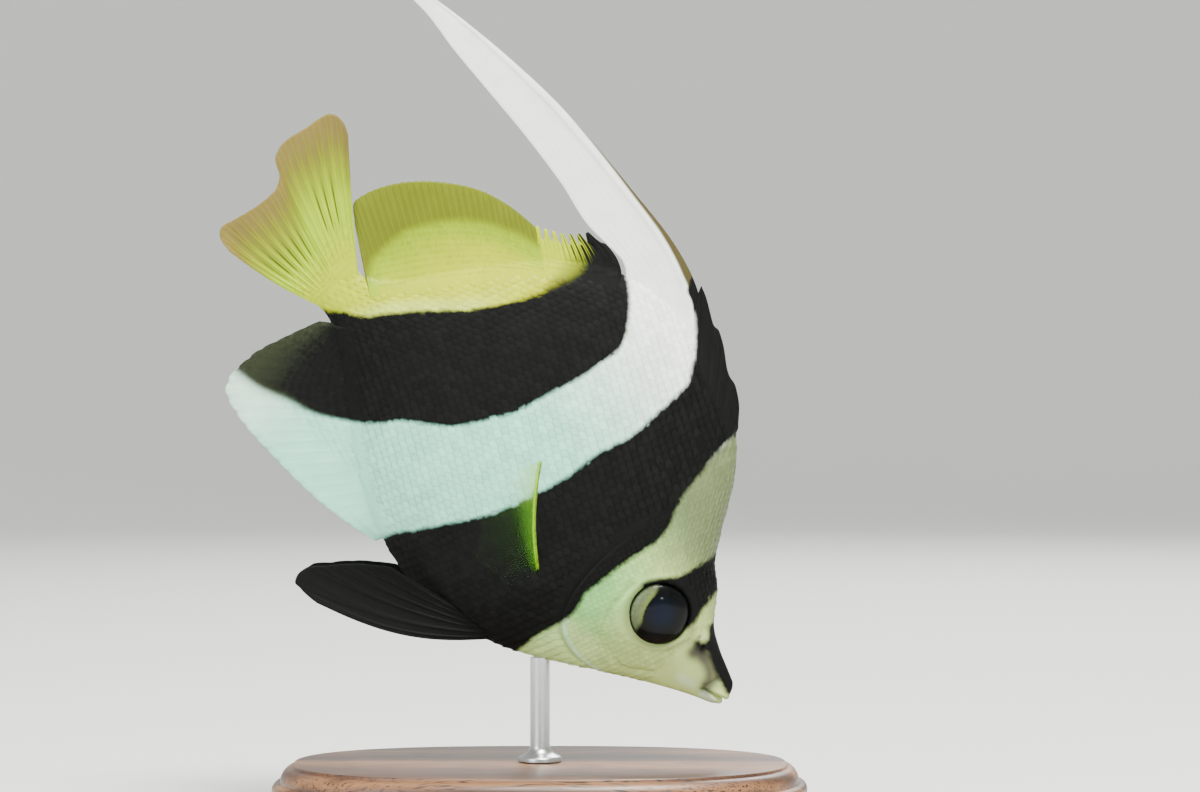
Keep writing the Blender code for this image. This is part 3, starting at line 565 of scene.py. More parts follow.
def glassy_eye():
    """A fish's eye under its clear cornea: a black pupil with a painted blue sheen at its middle, a
    near-black iris and one pale crescent, with a hard sharp gloss. The mesh carries each point's place on the
    eye's face, in millimetres."""
    made, tree, shader = new_material("eye_under_clear_cornea")
    across, tailward, upward = (add(tree, "ShaderNodeAttribute", attribute_name=key).outputs["Fac"]
                                for key in ("across", "tailward", "upward"))
    spot = add(tree, "ShaderNodeCombineXYZ", {0: tailward, 1: upward}).outputs[0]
    streaks = add(tree, "ShaderNodeTexNoise", {"Vector": spot, "Scale": 1.3, "Detail": 4.0}).outputs["Fac"]
    wobble = add(tree, "ShaderNodeMath", {0: streaks, 1: 0.5, 2: -0.25}, operation="MULTIPLY_ADD")
    far = add(tree, "ShaderNodeVectorMath", {0: spot, 1: (-2.73, 0.96, 0.0)}, operation="DISTANCE")
    bulge = add(tree, "ShaderNodeMath", {0: far.outputs["Value"], 1: wobble.outputs[0]}, operation="ADD")
    lean = add(tree, "ShaderNodeMath", {0: upward, 1: -0.33}, operation="MULTIPLY").outputs[0]
    beyond = add(tree, "ShaderNodeMath", {0: tailward, 1: 0.94, 2: lean}, operation="MULTIPLY_ADD")
    # Smooth steps from 0 at the first distance to the last number at the second
    outer, beside, ends, lining, pupil = (
        add(tree, "ShaderNodeMapRange", {"Value": value, "From Min": low, "From Max": high, "To Max": top},
            interpolation_type="SMOOTHSTEP").outputs["Result"]
        for value, low, high, top in (
            (across, 7.35, 6.8, 1.0), (bulge.outputs[0], 6.9, 7.4, 1.0), (beyond.outputs[0], 2.9, 4.3, 1.0),
            (bulge.outputs[0], 8.5, 7.3, 0.6), (across, 0.6, 5.2, 1.0)))
    sector = add(tree, "ShaderNodeMath", {0: beside, 1: ends}, operation="MULTIPLY").outputs[0]
    crescent = add(tree, "ShaderNodeMath", {0: outer, 1: sector}, operation="MULTIPLY").outputs[0]
    dull = add(tree, "ShaderNodeMix", {0: streaks, 6: four("#3A4630"), 7: four("#6B7652")},
               data_type="RGBA").outputs[2]
    iris = add(tree, "ShaderNodeMix", {0: lining, 6: dull, 7: four("#65742E")}, data_type="RGBA").outputs[2]
    # The pupil's middle is a painted blue sheen, fading to black outwards
    deep = add(tree, "ShaderNodeMix", {0: pupil, 6: four("#020A1C"), 7: four("#050606")},
               data_type="RGBA").outputs[2]
    colour = add(tree, "ShaderNodeMix", {0: crescent, 6: deep, 7: iris}, data_type="RGBA").outputs[2]
    feed(shader, {"Base Color": colour, "Roughness": 0.35, "Specular IOR Level": 0.05,
                  "Coat Weight": 0.5, "Coat IOR": 1.25, "Coat Roughness": 0.1})
    return made


def oiled_walnut():
    """Black walnut, sanded and oiled: brown rings drawn out along X, dark open pores, a low satin sheen."""
    made, tree, shader = new_material("walnut_oiled")
    spot = add(tree, "ShaderNodeTexCoord").outputs["Object"]
    drawn = add(tree, "ShaderNodeMapping", {"Vector": spot, "Scale": (0.06, 1.0, 1.0),
                                            "Rotation": (0.22, 0.0, 0.05)}).outputs[0]
    rings = add(tree, "ShaderNodeTexWave", {"Vector": drawn, "Scale": 1 / (22 * MM), "Distortion": 5.5,
                                            "Detail": 3.0, "Detail Scale": 1.2}, bands_direction="Z")
    grain = rings.outputs["Fac"]
    for share, size, detail in ((0.35, 34, 3.0), (0.3, 1.6, 4.0)):
        fine = add(tree, "ShaderNodeTexNoise", {"Vector": drawn, "Scale": 1 / (size * MM), "Detail": detail})
        grain = add(tree, "ShaderNodeMix", {0: share, 2: grain, 3: fine.outputs["Fac"]},
                    data_type="FLOAT").outputs[0]
    tint = add(tree, "ShaderNodeValToRGB", {"Fac": grain})
    stops = tint.color_ramp.elements
    stops[0].position, stops[1].position = 0.25, 0.8
    stops[0].color, stops[1].color = four("#3E2618"), four("#8A6240")
    stops.new(0.52).color = four("#64422B")
    lengthwise = add(tree, "ShaderNodeMapping", {"Vector": spot, "Scale": (0.05, 1.0, 1.0)}).outputs[0]
    pores = add(tree, "ShaderNodeTexNoise", {"Vector": lengthwise, "Scale": 1 / (0.45 * MM), "Detail": 1.0})
    solid = add(tree, "ShaderNodeMapRange", {"Value": pores.outputs["Fac"], "From Min": 0.34,
                                             "From Max": 0.44}).outputs["Result"]
    colour = add(tree, "ShaderNodeMix", {0: solid, 6: four("#2A180F"), 7: tint.outputs[0]},
                 data_type="RGBA").outputs[2]
    bump = add(tree, "ShaderNodeBump", {"Height": solid, "Strength": 0.35, "Distance": 0.08 * MM})
    feed(shader, {"Base Color": colour, "Normal": bump.outputs[0], "Roughness": 0.42,
                  "Coat Weight": 0.18, "Coat Roughness": 0.3})
    return made


def brushed_steel():
    """Stainless steel turned and brushed round its axis: fine level lines that spread the highlight."""
    made, tree, shader = new_material("stainless_steel_brushed")
    spot = add(tree, "ShaderNodeTexCoord").outputs["Object"]
    level = add(tree, "ShaderNodeMapping", {"Vector": spot, "Scale": (0.02, 0.02, 1.0)}).outputs[0]
    brush = add(tree, "ShaderNodeTexNoise", {"Vector": level, "Scale": 1 / (0.25 * MM),
                                             "Detail": 3.0}).outputs["Fac"]
    rough = add(tree, "ShaderNodeMapRange", {"Value": brush, "To Min": 0.22, "To Max": 0.42})
    bump = add(tree, "ShaderNodeBump", {"Height": brush, "Strength": 0.2, "Distance": 0.02 * MM})
    feed(shader, {"Base Color": four("#C4C5C6"), "Metallic": 1.0, "Roughness": rough.outputs["Result"],
                  "Normal": bump.outputs[0]})
    return made


# The skin

SKIN_SIDES = 360
# The places of the rings, as shares of the way from the snout to the gill cover's edge, and on to the tail
HEAD_STEPS = np.concatenate([
    [0.02, 0.08, 0.18, 0.32, 0.5, 0.72, 0.96, 1.22, 1.5], np.arange(1.8, 17.9, 0.3),
    np.arange(18.2, 43.2, 0.42), np.arange(43.5, 45.3, 0.2), [45.4]]) / 45.4
TORSO_STEPS = np.concatenate([
    [0.12, 0.26, 0.42, 0.62, 0.9, 1.25, 1.7], np.arange(2.3, 91.2, 0.82), [91.6]]) / 91.6


def flank_map(s, angle):
    """The skin's own flat map: its length along one side, and its girth round the other."""
    return np.stack([0.01 + 0.98 * s / (BODY_LENGTH + 1), 0.01 + 0.98 * angle / (2 * math.pi)], axis=-1)


def build_skin(finish):
    """Rings of the flank from the snout to the tail, closed by a pole at each end. The rings follow the gill
    cover's edge on both its sides."""
    angles = round_turn(SKIN_SIDES)
    edge = gill_edge(angles)
    stations = np.concatenate([HEAD_STEPS[:, None] * edge,
                               edge + TORSO_STEPS[:, None] * (BODY_LENGTH - edge)])
    around = np.broadcast_to(angles, stations.shape)
    poles = [(0.75, level(0), 0), (BODY_LENGTH + 0.4, level(BODY_LENGTH), 0)]
    points, faces = closed_rings(flank(stations, around, -COAT), poles)
    quads, ends = faces[0], len(faces[1]) + len(faces[2])
    down = around.ravel()[quads]
    # The faces that cross the back keep their corners together on the map
    down = np.where(down < down.max(1)[:, None] - math.pi, down + 2 * math.pi, down)
    corner = [[0, 0], [0.004, 0], [0, 0.004]]
    uv = np.concatenate([flank_map(stations.ravel()[quads], down).reshape(-1, 2), np.tile(corner, (ends, 1))])
    add_piece("skin", to_world(points), faces, finish, "white_skin", ("head", "torso", "tail_stalk"),
              marked(points), uv)


# Scales

# A scale's size on the flat map, and how far a column of scales leans forward for each millimetre up
SCALE_ON_MAP = 0.003
COLUMN_LEAN = 0.30
# The stations of the first and the last scales, and the strip below the throat that has none: its angle
# from the back in degrees, and the station where it ends
FIRST_SCALE = 15.5
LAST_SCALE = 135.5
BARE_KEEL = 173
BARE_KEEL_END = 60


def scale_outline(sides, inner):
    """A scale's template, (along, across, height share): an oval rim, a raised inner ring and two middles."""
    turn, rim_ids = round_turn(sides), np.arange(sides)
    rim = np.column_stack([0.5 - 0.5 * np.cos(turn), np.sin(turn) * 0.5, np.zeros(sides)])
    middles = [[0.58, 0, 1], [0.55, 0, -0.9]]
    if not inner:
        faces = [fan(rim_ids, sides), fan(rim_ids, sides + 1, reverse=True)]
        return np.concatenate([rim, middles]), np.concatenate(faces)
    ring = np.column_stack([0.56 - 0.30 * np.cos(turn), np.sin(turn) * 0.31, np.full(sides, 0.75)])
    after = np.roll(rim_ids, -1)
    quads = np.column_stack([rim_ids, after, after + sides, rim_ids + sides])
    faces = [quads[:, [0, 1, 2]], quads[:, [0, 2, 3]], fan(rim_ids + sides, 2 * sides),
             fan(rim_ids, 2 * sides + 1, reverse=True)]
    return np.concatenate([rim, ring, middles]), np.concatenate(faces)


def stretch(surface, p, q, step=1e-3):
    """How many millimetres of the surface one unit of p is, and one unit of q."""
    return [np.linalg.norm(slope, axis=-1) / (2 * step) for slope in slopes(surface, p, q, step, step)]


def lay_scales(name, drape, roots, size, rise, finish, slot, patch_at, sides, inner, repaint=None, turn=1):
    """Scales draped on a surface: each template point goes to drape(p + along, q + across, height).

    size is (length, width) in mm for each root, rise is (root height, rim height, dome) in mm, and the
    steps in p and q come from the surface's own stretch at the root. repaint gives what the scales change
    of the flank's markings. turn is -1 where p, q and the outward side are left-handed.
    """
    template, faces = scale_outline(sides, inner)
    ahead, across, share = template.T
    at_p, at_q = (root[:, None] + part * (reach / unit)[:, None] for root, part, reach, unit in
                  zip(roots, (ahead - 0.25, across), size, stretch(drape, *roots)))
    low, high, dome = rise
    slant = (high - low) * ahead
    lift = np.where(share < 0, low - 0.03 + 0.5 * slant, low + slant + dome * np.maximum(share, 0))
    points = drape(at_p, at_q, np.broadcast_to(lift, at_p.shape)).reshape(-1, 3)
    count, each = at_p.shape
    triangles = (faces[:, ::turn][None] + (np.arange(count) * each)[:, None, None]).reshape(-1, 3)
    random = np.random.default_rng(SEED)
    # Each scale's free rear rim gets a lower tone: painted shade along its overlap onto the next scale
    free_rim = (share <= 0) & (ahead > 0.5)
    tone = np.repeat(0.3 + 0.7 * random.random(count), each) - 0.75 * np.tile(free_rim, count)
    uneven = np.repeat(random.normal(0, 0.12, count), each)
    values = marked(points)
    values.update(repaint(points, values) if repaint else {"dark": values["dark"] + uneven}, tone=tone)
    patch = patch_at(*roots)[:, None, :] + (template[:, :2] - [0.5, 0]) * SCALE_ON_MAP
    add_piece(name, to_world(points), [triangles], finish, slot, (), values,
              patch.reshape(-1, 2)[triangles.ravel()], sharp=50)


def girth_table(stations, steps=360):
    """Equal angles from the back to the belly, and for each station the girth in mm up (+) or down (-) from
    the widest level to each of them."""
    angles = np.linspace(0, math.pi, steps + 1)
    points = bare_skin(stations[:, None], angles)
    length = np.cumsum(np.linalg.norm(np.diff(points, axis=1), axis=-1), axis=1)
    length = np.pad(length, ((0, 0), (1, 0)))
    return angles, length[:, [steps // 2]] - length


def flank_roots(pitch_along, pitch_up, keep):
    """Staggered columns of scale roots: each column leans forward as it rises, each second one is half a
    step higher. Returns stations and angles of those that keep(s, angle) wants."""
    gap = 0.5
    grid = np.arange(2.0, BODY_LENGTH - gap, gap)
    angles, height = girth_table(grid)
    steps = np.arange(-45, 46)
    found = []
    for number, start in enumerate(np.arange(-20.0, BODY_LENGTH + 30, pitch_along)):
        up = (steps + 0.5 * (number % 2)) * pitch_up
        s = start - COLUMN_LEAN * up
        row = np.clip(np.round((s - grid[0]) / gap).astype(int), 0, len(grid) - 1)
        # No root lies on the very ridge of the back or of the belly
        inside = (s > grid[0]) & (s < grid[-1]) & (up < height[row, 3]) & (up > height[row, -4])
        found += [(at_s, np.interp(-at_up, -height[at_row], angles))
                  for at_s, at_up, at_row in zip(s[inside], up[inside], row[inside])]
    s, angle = np.array(found).T
    wanted = keep(s, angle)
    return s[wanted], angle[wanted]


def build_scales(finish):
    """Body scales on each flank, and the smaller scales of the cheek, gill cover and nape."""
    random = np.random.default_rng(SEED)

    def open_gill(angle):
        """0 above the gill's opening, 1 along its free edge."""
        return ramp(np.degrees(angle), 58, 82)

    def on_body(s, angle):
        """From the gill cover to the tail fin, but for a bare strip below the throat."""
        past_gill = s > gill_edge(angle) + 0.2 + 0.9 * open_gill(angle)
        scaly = (np.degrees(angle) < BARE_KEEL) | (s > BARE_KEEL_END)
        return past_gill & (s < LAST_SCALE) & scaly

    def on_head(s, angle):
        """From the bare snout to the gill cover's edge, clear of the eye's ring."""
        clear_of_eye = from_eye(s, bare_skin(s, angle)[:, 1]) > EYE_RADIUS + 1.7
        before_gill = s < gill_edge(angle) - 1.7 * open_gill(angle)
        return before_gill & (s > FIRST_SCALE) & clear_of_eye

    for kind, pitch, keep, rise, sides, inner in (
            ("scales", (1.95, 1.75), on_body, (-0.36, 0.05, 0.05), 12, True),
            ("head_scales", (1.35, 1.2), on_head, (-0.33, -0.06, 0.03), 10, False)):
        s, angle = flank_roots(*pitch, keep)
        shrink = 1 - 0.42 * ramp(s, 108, 134) - 0.15 * (1 - ramp(s, 45, 52)) * (s > 40)
        size = (pitch[0] * 1.75 * shrink * random.uniform(0.93, 1.07, len(s)),
                pitch[1] * 1.22 * shrink * random.uniform(0.93, 1.07, len(s)))
        for hand, turned in (("left", angle), ("right", 2 * math.pi - angle)):
            lay_scales(kind + "_" + hand, flank, (s, turned), size, rise, finish, "white_skin", flank_map,
                       sides, inner)


# Fins

def moved_aside(points, aside):
    """The points, moved by aside mm to the fish's left."""
    moved = np.array(points)
    moved[..., 2] += aside
    return moved


def fin_shape(root, edge, rays, notch=0.0, bow=None, sway=None, wave=0.0, branch_from=0.5, half=(0.16, 0.10),
              ridge=(0.36, 0.10), first_ray=0.0, root_swell=0.0, profile=None, buried=0.0):
    """A fin as two functions of (u along its root, v out to its edge): its middle and its half thickness.

    The middle runs straight from root(u) to edge(u), drawn in by notch between rays, bent by bow across
    its own line and moved sideways by sway. The thickness is a membrane with a ridge on each ray, bell
    shaped, that splits in two and then in four past branch_from and lies buried in the skin up to
    v = buried. half and ridge hold their heights at the root and at the edge. Where the fin leaves the
    body's profile, its half thickness t and the flank's b, which falls by FILLET_SLOPE outside the profile,
    join as max(t, b) + (r - |t - b|)^2 / 4r, with r = FILLET.
    """
    def ray_share(u, v):
        part = np.abs(np.abs((u * rays) % 1 - 0.5) - 0.24 * ramp(v, branch_from, 1.15))
        part = np.abs(part - 0.09 * ramp(v, branch_from + 0.2, 1.25))
        return bell(part, 0.13 - 0.05 * v)

    def middle(u, v):
        u, v = np.broadcast_arrays(np.asarray(u, float), np.asarray(v, float))
        start, end = root(np.clip(u, 0, 1)), edge(np.clip(u, 0, 1))
        dip = notch * ramp(np.abs((u * rays) % 1 - 0.5), 0.18, 0.5)
        spine = (end - start) * (1 - dip * ramp(v, 0.8, 1.0))[..., None]
        points = start + spine * v[..., None]
        if bow:
            across = np.stack([-spine[..., 1], spine[..., 0], np.zeros(u.shape)], axis=-1)
            points = points + (np.sin(np.clip(v, 0, 1) * math.pi) * bow(u))[..., None] * across
        aside = wave * np.sin(u * 9.0 + v * 2.2) * v ** 1.5
        return moved_aside(points, aside + sway(u, v) if sway else aside)

    def tapered(ends, v):
        return ends[1] + (ends[0] - ends[1]) * np.clip(1 - v, 0, 1)

    def thickness(u, v):
        raised = tapered(ridge, v) * (1 - ramp(v, 0.93, 1.0) * 0.6)
        if buried:
            raised = raised * ramp(v, 0.5 * buried, 1.3 * buried)
        thick = tapered(half, v) + raised * ray_share(u, v)
        thick = thick + first_ray * (1 - ramp(u, 0.015, 0.05)) * tapered((1.0, 0.25), v)
        thick = thick + root_swell * (1 - ramp(v, 0.06, 0.45)) * np.sqrt(np.clip(4 * u * (1 - u), 0, 1))
        if profile:
            s, d = np.moveaxis(middle(u, v), -1, 0)[:2]
            slope = profile(s + 0.5) - profile(s - 0.5)
            outside = (np.abs(d) - np.abs(profile(s))) / np.sqrt(1 + slope ** 2)
            inside = skin_side(s, d)
            flesh = np.where(outside > 0, -FILLET_SLOPE * outside, inside - 0.02 * inside ** 2) - 0.1
            near = np.maximum(FILLET - np.abs(flesh - thick), 0)
            joined = np.maximum(flesh, thick) + near ** 2 / (4 * FILLET)
            thick = thick + (joined - thick) * (1 - ramp(v, 0.75, 1.0))
        return thick

    return middle, thickness, ray_share


def fin_map(v, u):
    """A fin's own flat map, with one face on its left half."""
    return np.stack([0.01 + 0.47 * u, 0.01 + 0.98 * v], axis=-1)


def build_fin(name, shape, rays, rows, per_ray, finish, slot, paint):
    """Both faces of a fin on one grid, joined round its border: middle +- thickness along its normal."""
    middle, thickness, ray_share = shape
    columns = rays * per_ray + 1
    u, v = np.meshgrid(np.linspace(0, 1, columns), np.linspace(0, 1, rows))
    points = middle(u, v)
    out = np.cross(np.gradient(points, axis=0), np.gradient(points, axis=1))
    out /= np.linalg.norm(out, axis=-1)[..., None]
    border = np.minimum(np.minimum(u, 1 - u) * columns / 3, (1 - v) * rows / 3 + 0.35)
    out *= (thickness(u, v) * np.clip(0.45 + 0.55 * border, 0, 1))[..., None]
    both = np.concatenate([(points + out).reshape(-1, 3), (points - out).reshape(-1, 3)])
    count = rows * columns
    front = grid_faces(rows, columns)
    rim = np.concatenate([np.arange(columns), np.arange(1, rows) * columns + columns - 1,
                          (rows - 1) * columns + np.arange(columns - 2, -1, -1),
                          np.arange(rows - 2, 0, -1) * columns])
    after = np.roll(rim, -1)
    strip = np.column_stack([after, after + count, rim + count, rim])
    flat = fin_map(v, u).reshape(-1, 2)
    uv = np.concatenate([flat[front[:, ::-1]], flat[front] + [0.5, 0],
                         flat[strip % count] + 0.003 * (strip >= count)[..., None]])
    values = marked(both)
    grid = [np.tile(part.ravel(), 2) for part in (u, v, ray_share(u, v))]
    values.update(paint(*both[:, :2].T, *grid, values))
    add_piece(name, to_world(both), [np.concatenate([front[:, ::-1], front + count, strip])], finish, slot,
              (name,), values, uv.reshape(-1, 2))


def fin_curve(points, side=1):
    """A curve through (s, d) points in the fish's middle plane, or through (s, d, y) points of its left
    side that are put on the side asked for."""
    return along([(s, d, side * sum(y)) for s, d, *y in points])


# Each paint function returns what a fin changes of the flank's markings

def paint_front_fin(*_):
    """The flank's own markings."""
    return {}


def paint_pennant(s, d, u, v, ray, was):
    """White, with the third spine's thin brown membrane along its front edge, black only at first."""
    strip = np.interp(s, *zip(*STRIP_WIDTH)) - distance_to_line(s, d, PENNANT_FRONT, 160)
    below = np.maximum(depth_inside(s, d, BAND_ONE), np.where(d < 52, depth_inside(s, d, BAND_TWO), -3))
    return {"dark": np.maximum(strip - 0.3 - 0.25 * np.maximum(s - 70, 0), below),
            "soft": np.full(len(s), 0.4),
            "ground": mix(WHITE_HIGH, "#4C4428", ramp(strip, -0.35, 0.35))}


def paint_rear_spines(s, d, u, v, ray, was):
    """Yellow-green spines, with black membrane between the front ones and yellow between the rear ones."""
    black = 4.8 - 8.0 * u - 4.4 * ray ** 1.5 * ramp(v, 0.3, 0.95) * ramp(u, 0.1, 0.2)
    return {"dark": was["dark"] + (black - was["dark"]) * ramp(v, 0.2, 0.7),
            "soft": was["soft"] + (1.6 - was["soft"]) * ramp(v, 0.35, 0.75),
            "ground": mix(YELLOW_BRIGHT, YELLOW_GREEN, 0.6 * ray)}


def paint_soft_dorsal(s, d, u, v, ray, was):
    """Bright yellow scaly sheath, and past its limit a thin olive margin with greener rays."""
    sheath = depth_inside(s, d, SHEATH_LIMIT)
    margin = 1 - ramp(sheath, -2.2, 0.9)
    green = np.maximum(0.75 * ramp(s, 118, 134), 0.9 - 0.9 * ramp(sheath, 1.0, 6.5))
    yellow = mix(YELLOW_BRIGHT, "#8FAC00", green)
    return {"ground": mix(yellow, mix(OLIVE, YELLOW_GREEN, 0.12 * ray), margin),
            "dark": np.minimum(was["dark"], np.where(s > 104, -2, 3)),
            "clear": margin * (0.18 - 0.07 * ray)}


def paint_caudal(s, d, u, v, ray, was):
    """Bright yellow root, yellow-green rays, and an olive see-through outer half."""
    outer = ramp(v, 0.38 + 0.1 * np.sin(u * 5.5), 0.86)
    root = mix(YELLOW_BRIGHT, YELLOW_GREEN, 0.3 + 0.7 * ramp(v, 0.1, 0.4))
    in_lobe = ramp(u, 0.12, 0.18) * (1 - ramp(u, 0.3, 0.36)) + ramp(u, 0.5, 0.56) * (1 - ramp(u, 0.86, 0.92))
    between = ramp(np.abs((u * CAUDAL_RAYS) % 1 - 0.5), 0.34, 0.46)
    gaps = between * ramp(v, 0.3, 0.42) * (1 - ramp(v, 0.52, 0.75)) * in_lobe
    tips = mix("#7E7A18", "#857433", ramp(v, 0.7, 1.0))
    ground = mix(mix(root, tips, outer), "#26280C", 0.9 * gaps)
    green_rays = 0.45 * ray * ramp(v, 0.2, 0.5) * (1 - ramp(v, 0.6, 0.95))
    return {"ground": mix(ground, YELLOW_GREEN, green_rays), "dark": np.full(len(s), -3.0),
            "clear": outer * (0.26 - 0.14 * ray)}


def paint_anal(s, d, u, v, ray, was):
    """The flank's marks, where the black thins to olive towards the fin's rear edge."""
    thin = ramp(v, 0.3, 1.0) * ramp(s, 110, 133)
    dark = np.where(d > -14, np.maximum(was["dark"], 4), was["dark"])
    return {"ground": mix(was["ground"], "#4E573A", ramp(was["dark"], -0.6, 1.2)),
            "dark": np.minimum(dark, was["soft"] * (1 - 0.75 * thin)),
            "clear": 0.16 * ramp(v, 0.9, 1.0) * (1 - ray)}


def paint_pelvic(s, *_):
    """Black all over."""
    return {"dark": np.full(len(s), 6.0)}


def paint_pectoral(s, d, u, v, ray, was):
    """A clear green film on green rays, dense and bright along its leading edge, gone towards the rear."""
    leading = 1 - ramp(u * (0.35 + v), 0.015, 0.06)
    dense = 1 - ramp(u, 0.0, 0.42)
    rear = ramp(u, 0.35, 0.8)
    green = mix("#62B01C", "#74B824", ray)
    green = mix(green, "#BCF25A", ramp(v, 0.62, 0.8) * (1 - ramp(u, 0.15, 0.4)))
    film = 0.985 + 0.012 * rear - 0.28 * dense ** 2 - 0.02 * ray * (1 - 0.8 * rear)
    return {"ground": mix(green, "#A2D81A", leading),
            "dark": 5 * (1 - leading) * (0.03 + 0.28 * u * (1 - 0.5 * u) - v),
            "soft": np.full(len(s), 0.5),
            "clear": np.clip(film - leading * (1 - 0.5 * ramp(v, 0.7, 0.95)), 0, 1)}


# The scaly sheath of each fin: scales along its root and up its rays, and how far up they reach
SHEATHS = {
    "anal_fin": (40, 17, lambda u, v, s, d: v < 0.30 + 0.30 * ramp(u, 0.2, 0.7)),
    "dorsal_fin_spines": (13, 13, lambda u, v, s, d: v < 0.56),
    "dorsal_fin_soft": (40, 19, lambda u, v, s, d: depth_inside(s, d, SHEATH_LIMIT) > 0.4),
    "caudal_fin": (15, 26, lambda u, v, s, d: v < 0.25 + 0.1 * np.abs(2 * u - 1))}
# Fin scales start where the flank is thinner than this in mm, and on the tail stalk past this station
THIN_FLANK = 2.4
STALK_END = 136.5


def lay_sheath(name, shape, across, out, keep, finish, slot, paint):
    """Small scales on both faces of a fin, in staggered rows that follow its rays."""
    middle, thickness, _ = shape
    row, column = np.divmod(np.arange(across * out), across)
    u, v = (column + 0.25 + 0.5 * (row % 2)) / across, (row + 0.6) / out
    s, d = middle(u, v)[:, :2].T
    wanted = (u > 0.02) & (u < 0.98) & (v > 0.04) & keep(u, v, s, d)
    wanted &= (skin_side(s, d) < THIN_FLANK) | (s > STALK_END)
    u, v = u[wanted], v[wanted]
    wide, long = stretch(middle, u, v)

    def repaint(points, was):
        each = len(points) // len(u)
        return paint(*points[:, :2].T, np.repeat(u, each), np.repeat(v, each), np.full(len(points), 0.4), was)

    for hand, side in (("left", -1), ("right", 1)):
        def drape(p, q, lift=0.0):
            out_way = normals_of(middle, q, p, 0.002, 0.002)
            return middle(q, p) + side * (thickness(q, p) + lift)[..., None] * out_way

        lay_scales(name + "_scales_" + hand, drape, (v, u), (long / out * 1.7, wide / across * 1.18),
                   (-0.12, 0.05, 0.03), finish, slot, fin_map, 8, False, repaint, -side)


def build_fins(skin_like, clear_like, scale_like):
    """Every fin, from the same root and edge curves as its solid. Each row says how many rays it has, and
    its mesh's rows and columns per ray."""
    fins = [
        ("dorsal_fin_front", "black_fin", 3, 24, 14, paint_front_fin, skin_like, 1, dict(
            root=[(42.5, 40.5), (50, 44.5), (62.6, 47.8)],
            edge=[(45.6, 47.4), (50, 51.3), (55.5, 54.4), (59, 55.8), (62.7, 58.1), (68.6, 60.9),
                  (76.2, 63.8), (74.2, 58.4)],
            notch=0.10, branch_from=2.0, ridge=(0.5, 0.3), half=(0.2, 0.14), profile=back)),
        ("dorsal_fin_spines", "black_fin", 7, 26, 12, paint_rear_spines, skin_like, 1, dict(
            root=[(86.2, 45.5), (94, 40.5), (100.8, 34.5)],
            edge=[(103.8, 53.6), (105.2, 51.4), (107.6, 48.8), (111, 46.6), (114.6, 44.6)],
            notch=0.24, bow=lambda u: 0.20 * (1 - u) ** 3, branch_from=2.0, ridge=(0.5, 0.28),
            half=(0.2, 0.14), profile=back, buried=0.62)),
        ("dorsal_fin_soft", "yellow_fin", 31, 56, 10, paint_soft_dorsal, clear_like, 1, dict(
            root=[(100.6, 37.5), (107.5, 29.5), (115, 19), (122, 9), (127.5, 3.2)],
            edge=[(114, 44.6), (121.8, 43.6), (129.4, 41.1), (137.4, 35.5), (143.9, 28.3), (147.2, 22),
                  (148.2, 17.6), (144.2, 13.6)],
            notch=0.004, wave=-0.5, branch_from=0.55, profile=back, buried=0.45, ridge=(0.26, 0.10))),
        ("caudal_fin", "yellow_fin", CAUDAL_RAYS, 64, 16, paint_caudal, clear_like, 1, dict(
            root=[(134.4, 5.6), (134.6, 0), (134.4, -5.6)],
            edge=[(160.5, 27.3), (163.8, 28.5), (166.6, 28), (168.6, 20.5), (169.6, 15), (168.4, 10.9),
                  (164.4, 8.4), (162.8, 4.8), (163, 0.5), (164.2, -5.5), (165.2, -9.8), (163.6, -11.8),
                  (159.6, -12.5)],
            notch=0.002, sway=lambda u, v: -4.0 * v ** 1.8, wave=0.4, branch_from=0.35, root_swell=1.35,
            buried=0.2, ridge=(0.34, 0.11), bow=lambda u: -0.01 - 0.025 * u)),
        ("anal_fin", "black_fin", 21, 46, 8, paint_anal, clear_like, 1, dict(
            root=[(83, -27.5), (91, -24), (102.5, -17.5), (114, -9), (125.5, -2.5)],
            edge=[(85.6, -35.2), (94.7, -37.3), (103.4, -38.5), (121.4, -39), (131.5, -38.2), (136.8, -36.3),
                  (138.6, -31.5), (138.4, -25.5), (136.2, -17.5), (133.2, -8.6)],
            notch=0.012, wave=0.4, branch_from=0.6, ridge=(0.16, 0.06), profile=belly, buried=0.45))]
    for hand, side in HANDS:
        fins += [
            ("pectoral_fin_" + hand, "clear_fin", 15, 44, 8, paint_pectoral, clear_like, side, dict(
                root=[(52.4, -11.8, 10.8), (53.2, -15.2, 10.6), (53.6, -18.6, 9.8)],
                edge=[(72.2, 8, 29), (73.8, 3, 28.6), (73.4, -6, 26.6), (70.4, -13.5, 24),
                      (65.5, -19.5, 20.5)],
                notch=0.014, bow=lambda u: -0.045 * (1 - u), branch_from=0.45, half=(0.12, 0.07),
                ridge=(0.3, 0.08), first_ray=0.2, root_swell=0.5)),
            ("pelvic_fin_" + hand, "black_fin", 6, 60, 12, paint_pelvic, skin_like, side, dict(
                root=[(46.5, -27.2, 2.6), (50, -28.6, 3.2), (54.5, -30, 3.8)],
                edge=[(84.6, -54.8, 9.2), (91, -55.2, 9.4), (92.6, -52, 9), (89.2, -46.8, 8.6),
                      (84.8, -41.6, 8.5), (78.4, -36, 8.6)],
                notch=0.006, bow=lambda u: -0.085 * (1 - u), branch_from=0.45, first_ray=0.25,
                root_swell=0.7))]
    for name, slot, rays, rows, per_ray, paint, finish, side, sizes in fins:
        root, edge = (fin_curve(sizes.pop(line), side) for line in ("root", "edge"))
        shape = fin_shape(root, edge, rays, **sizes)
        build_fin(name, shape, rays, rows, per_ray, finish, slot, paint)
        if name in SHEATHS:
            lay_sheath(name, shape, *SHEATHS[name], scale_like, slot, paint)
    build_pennant(skin_like)


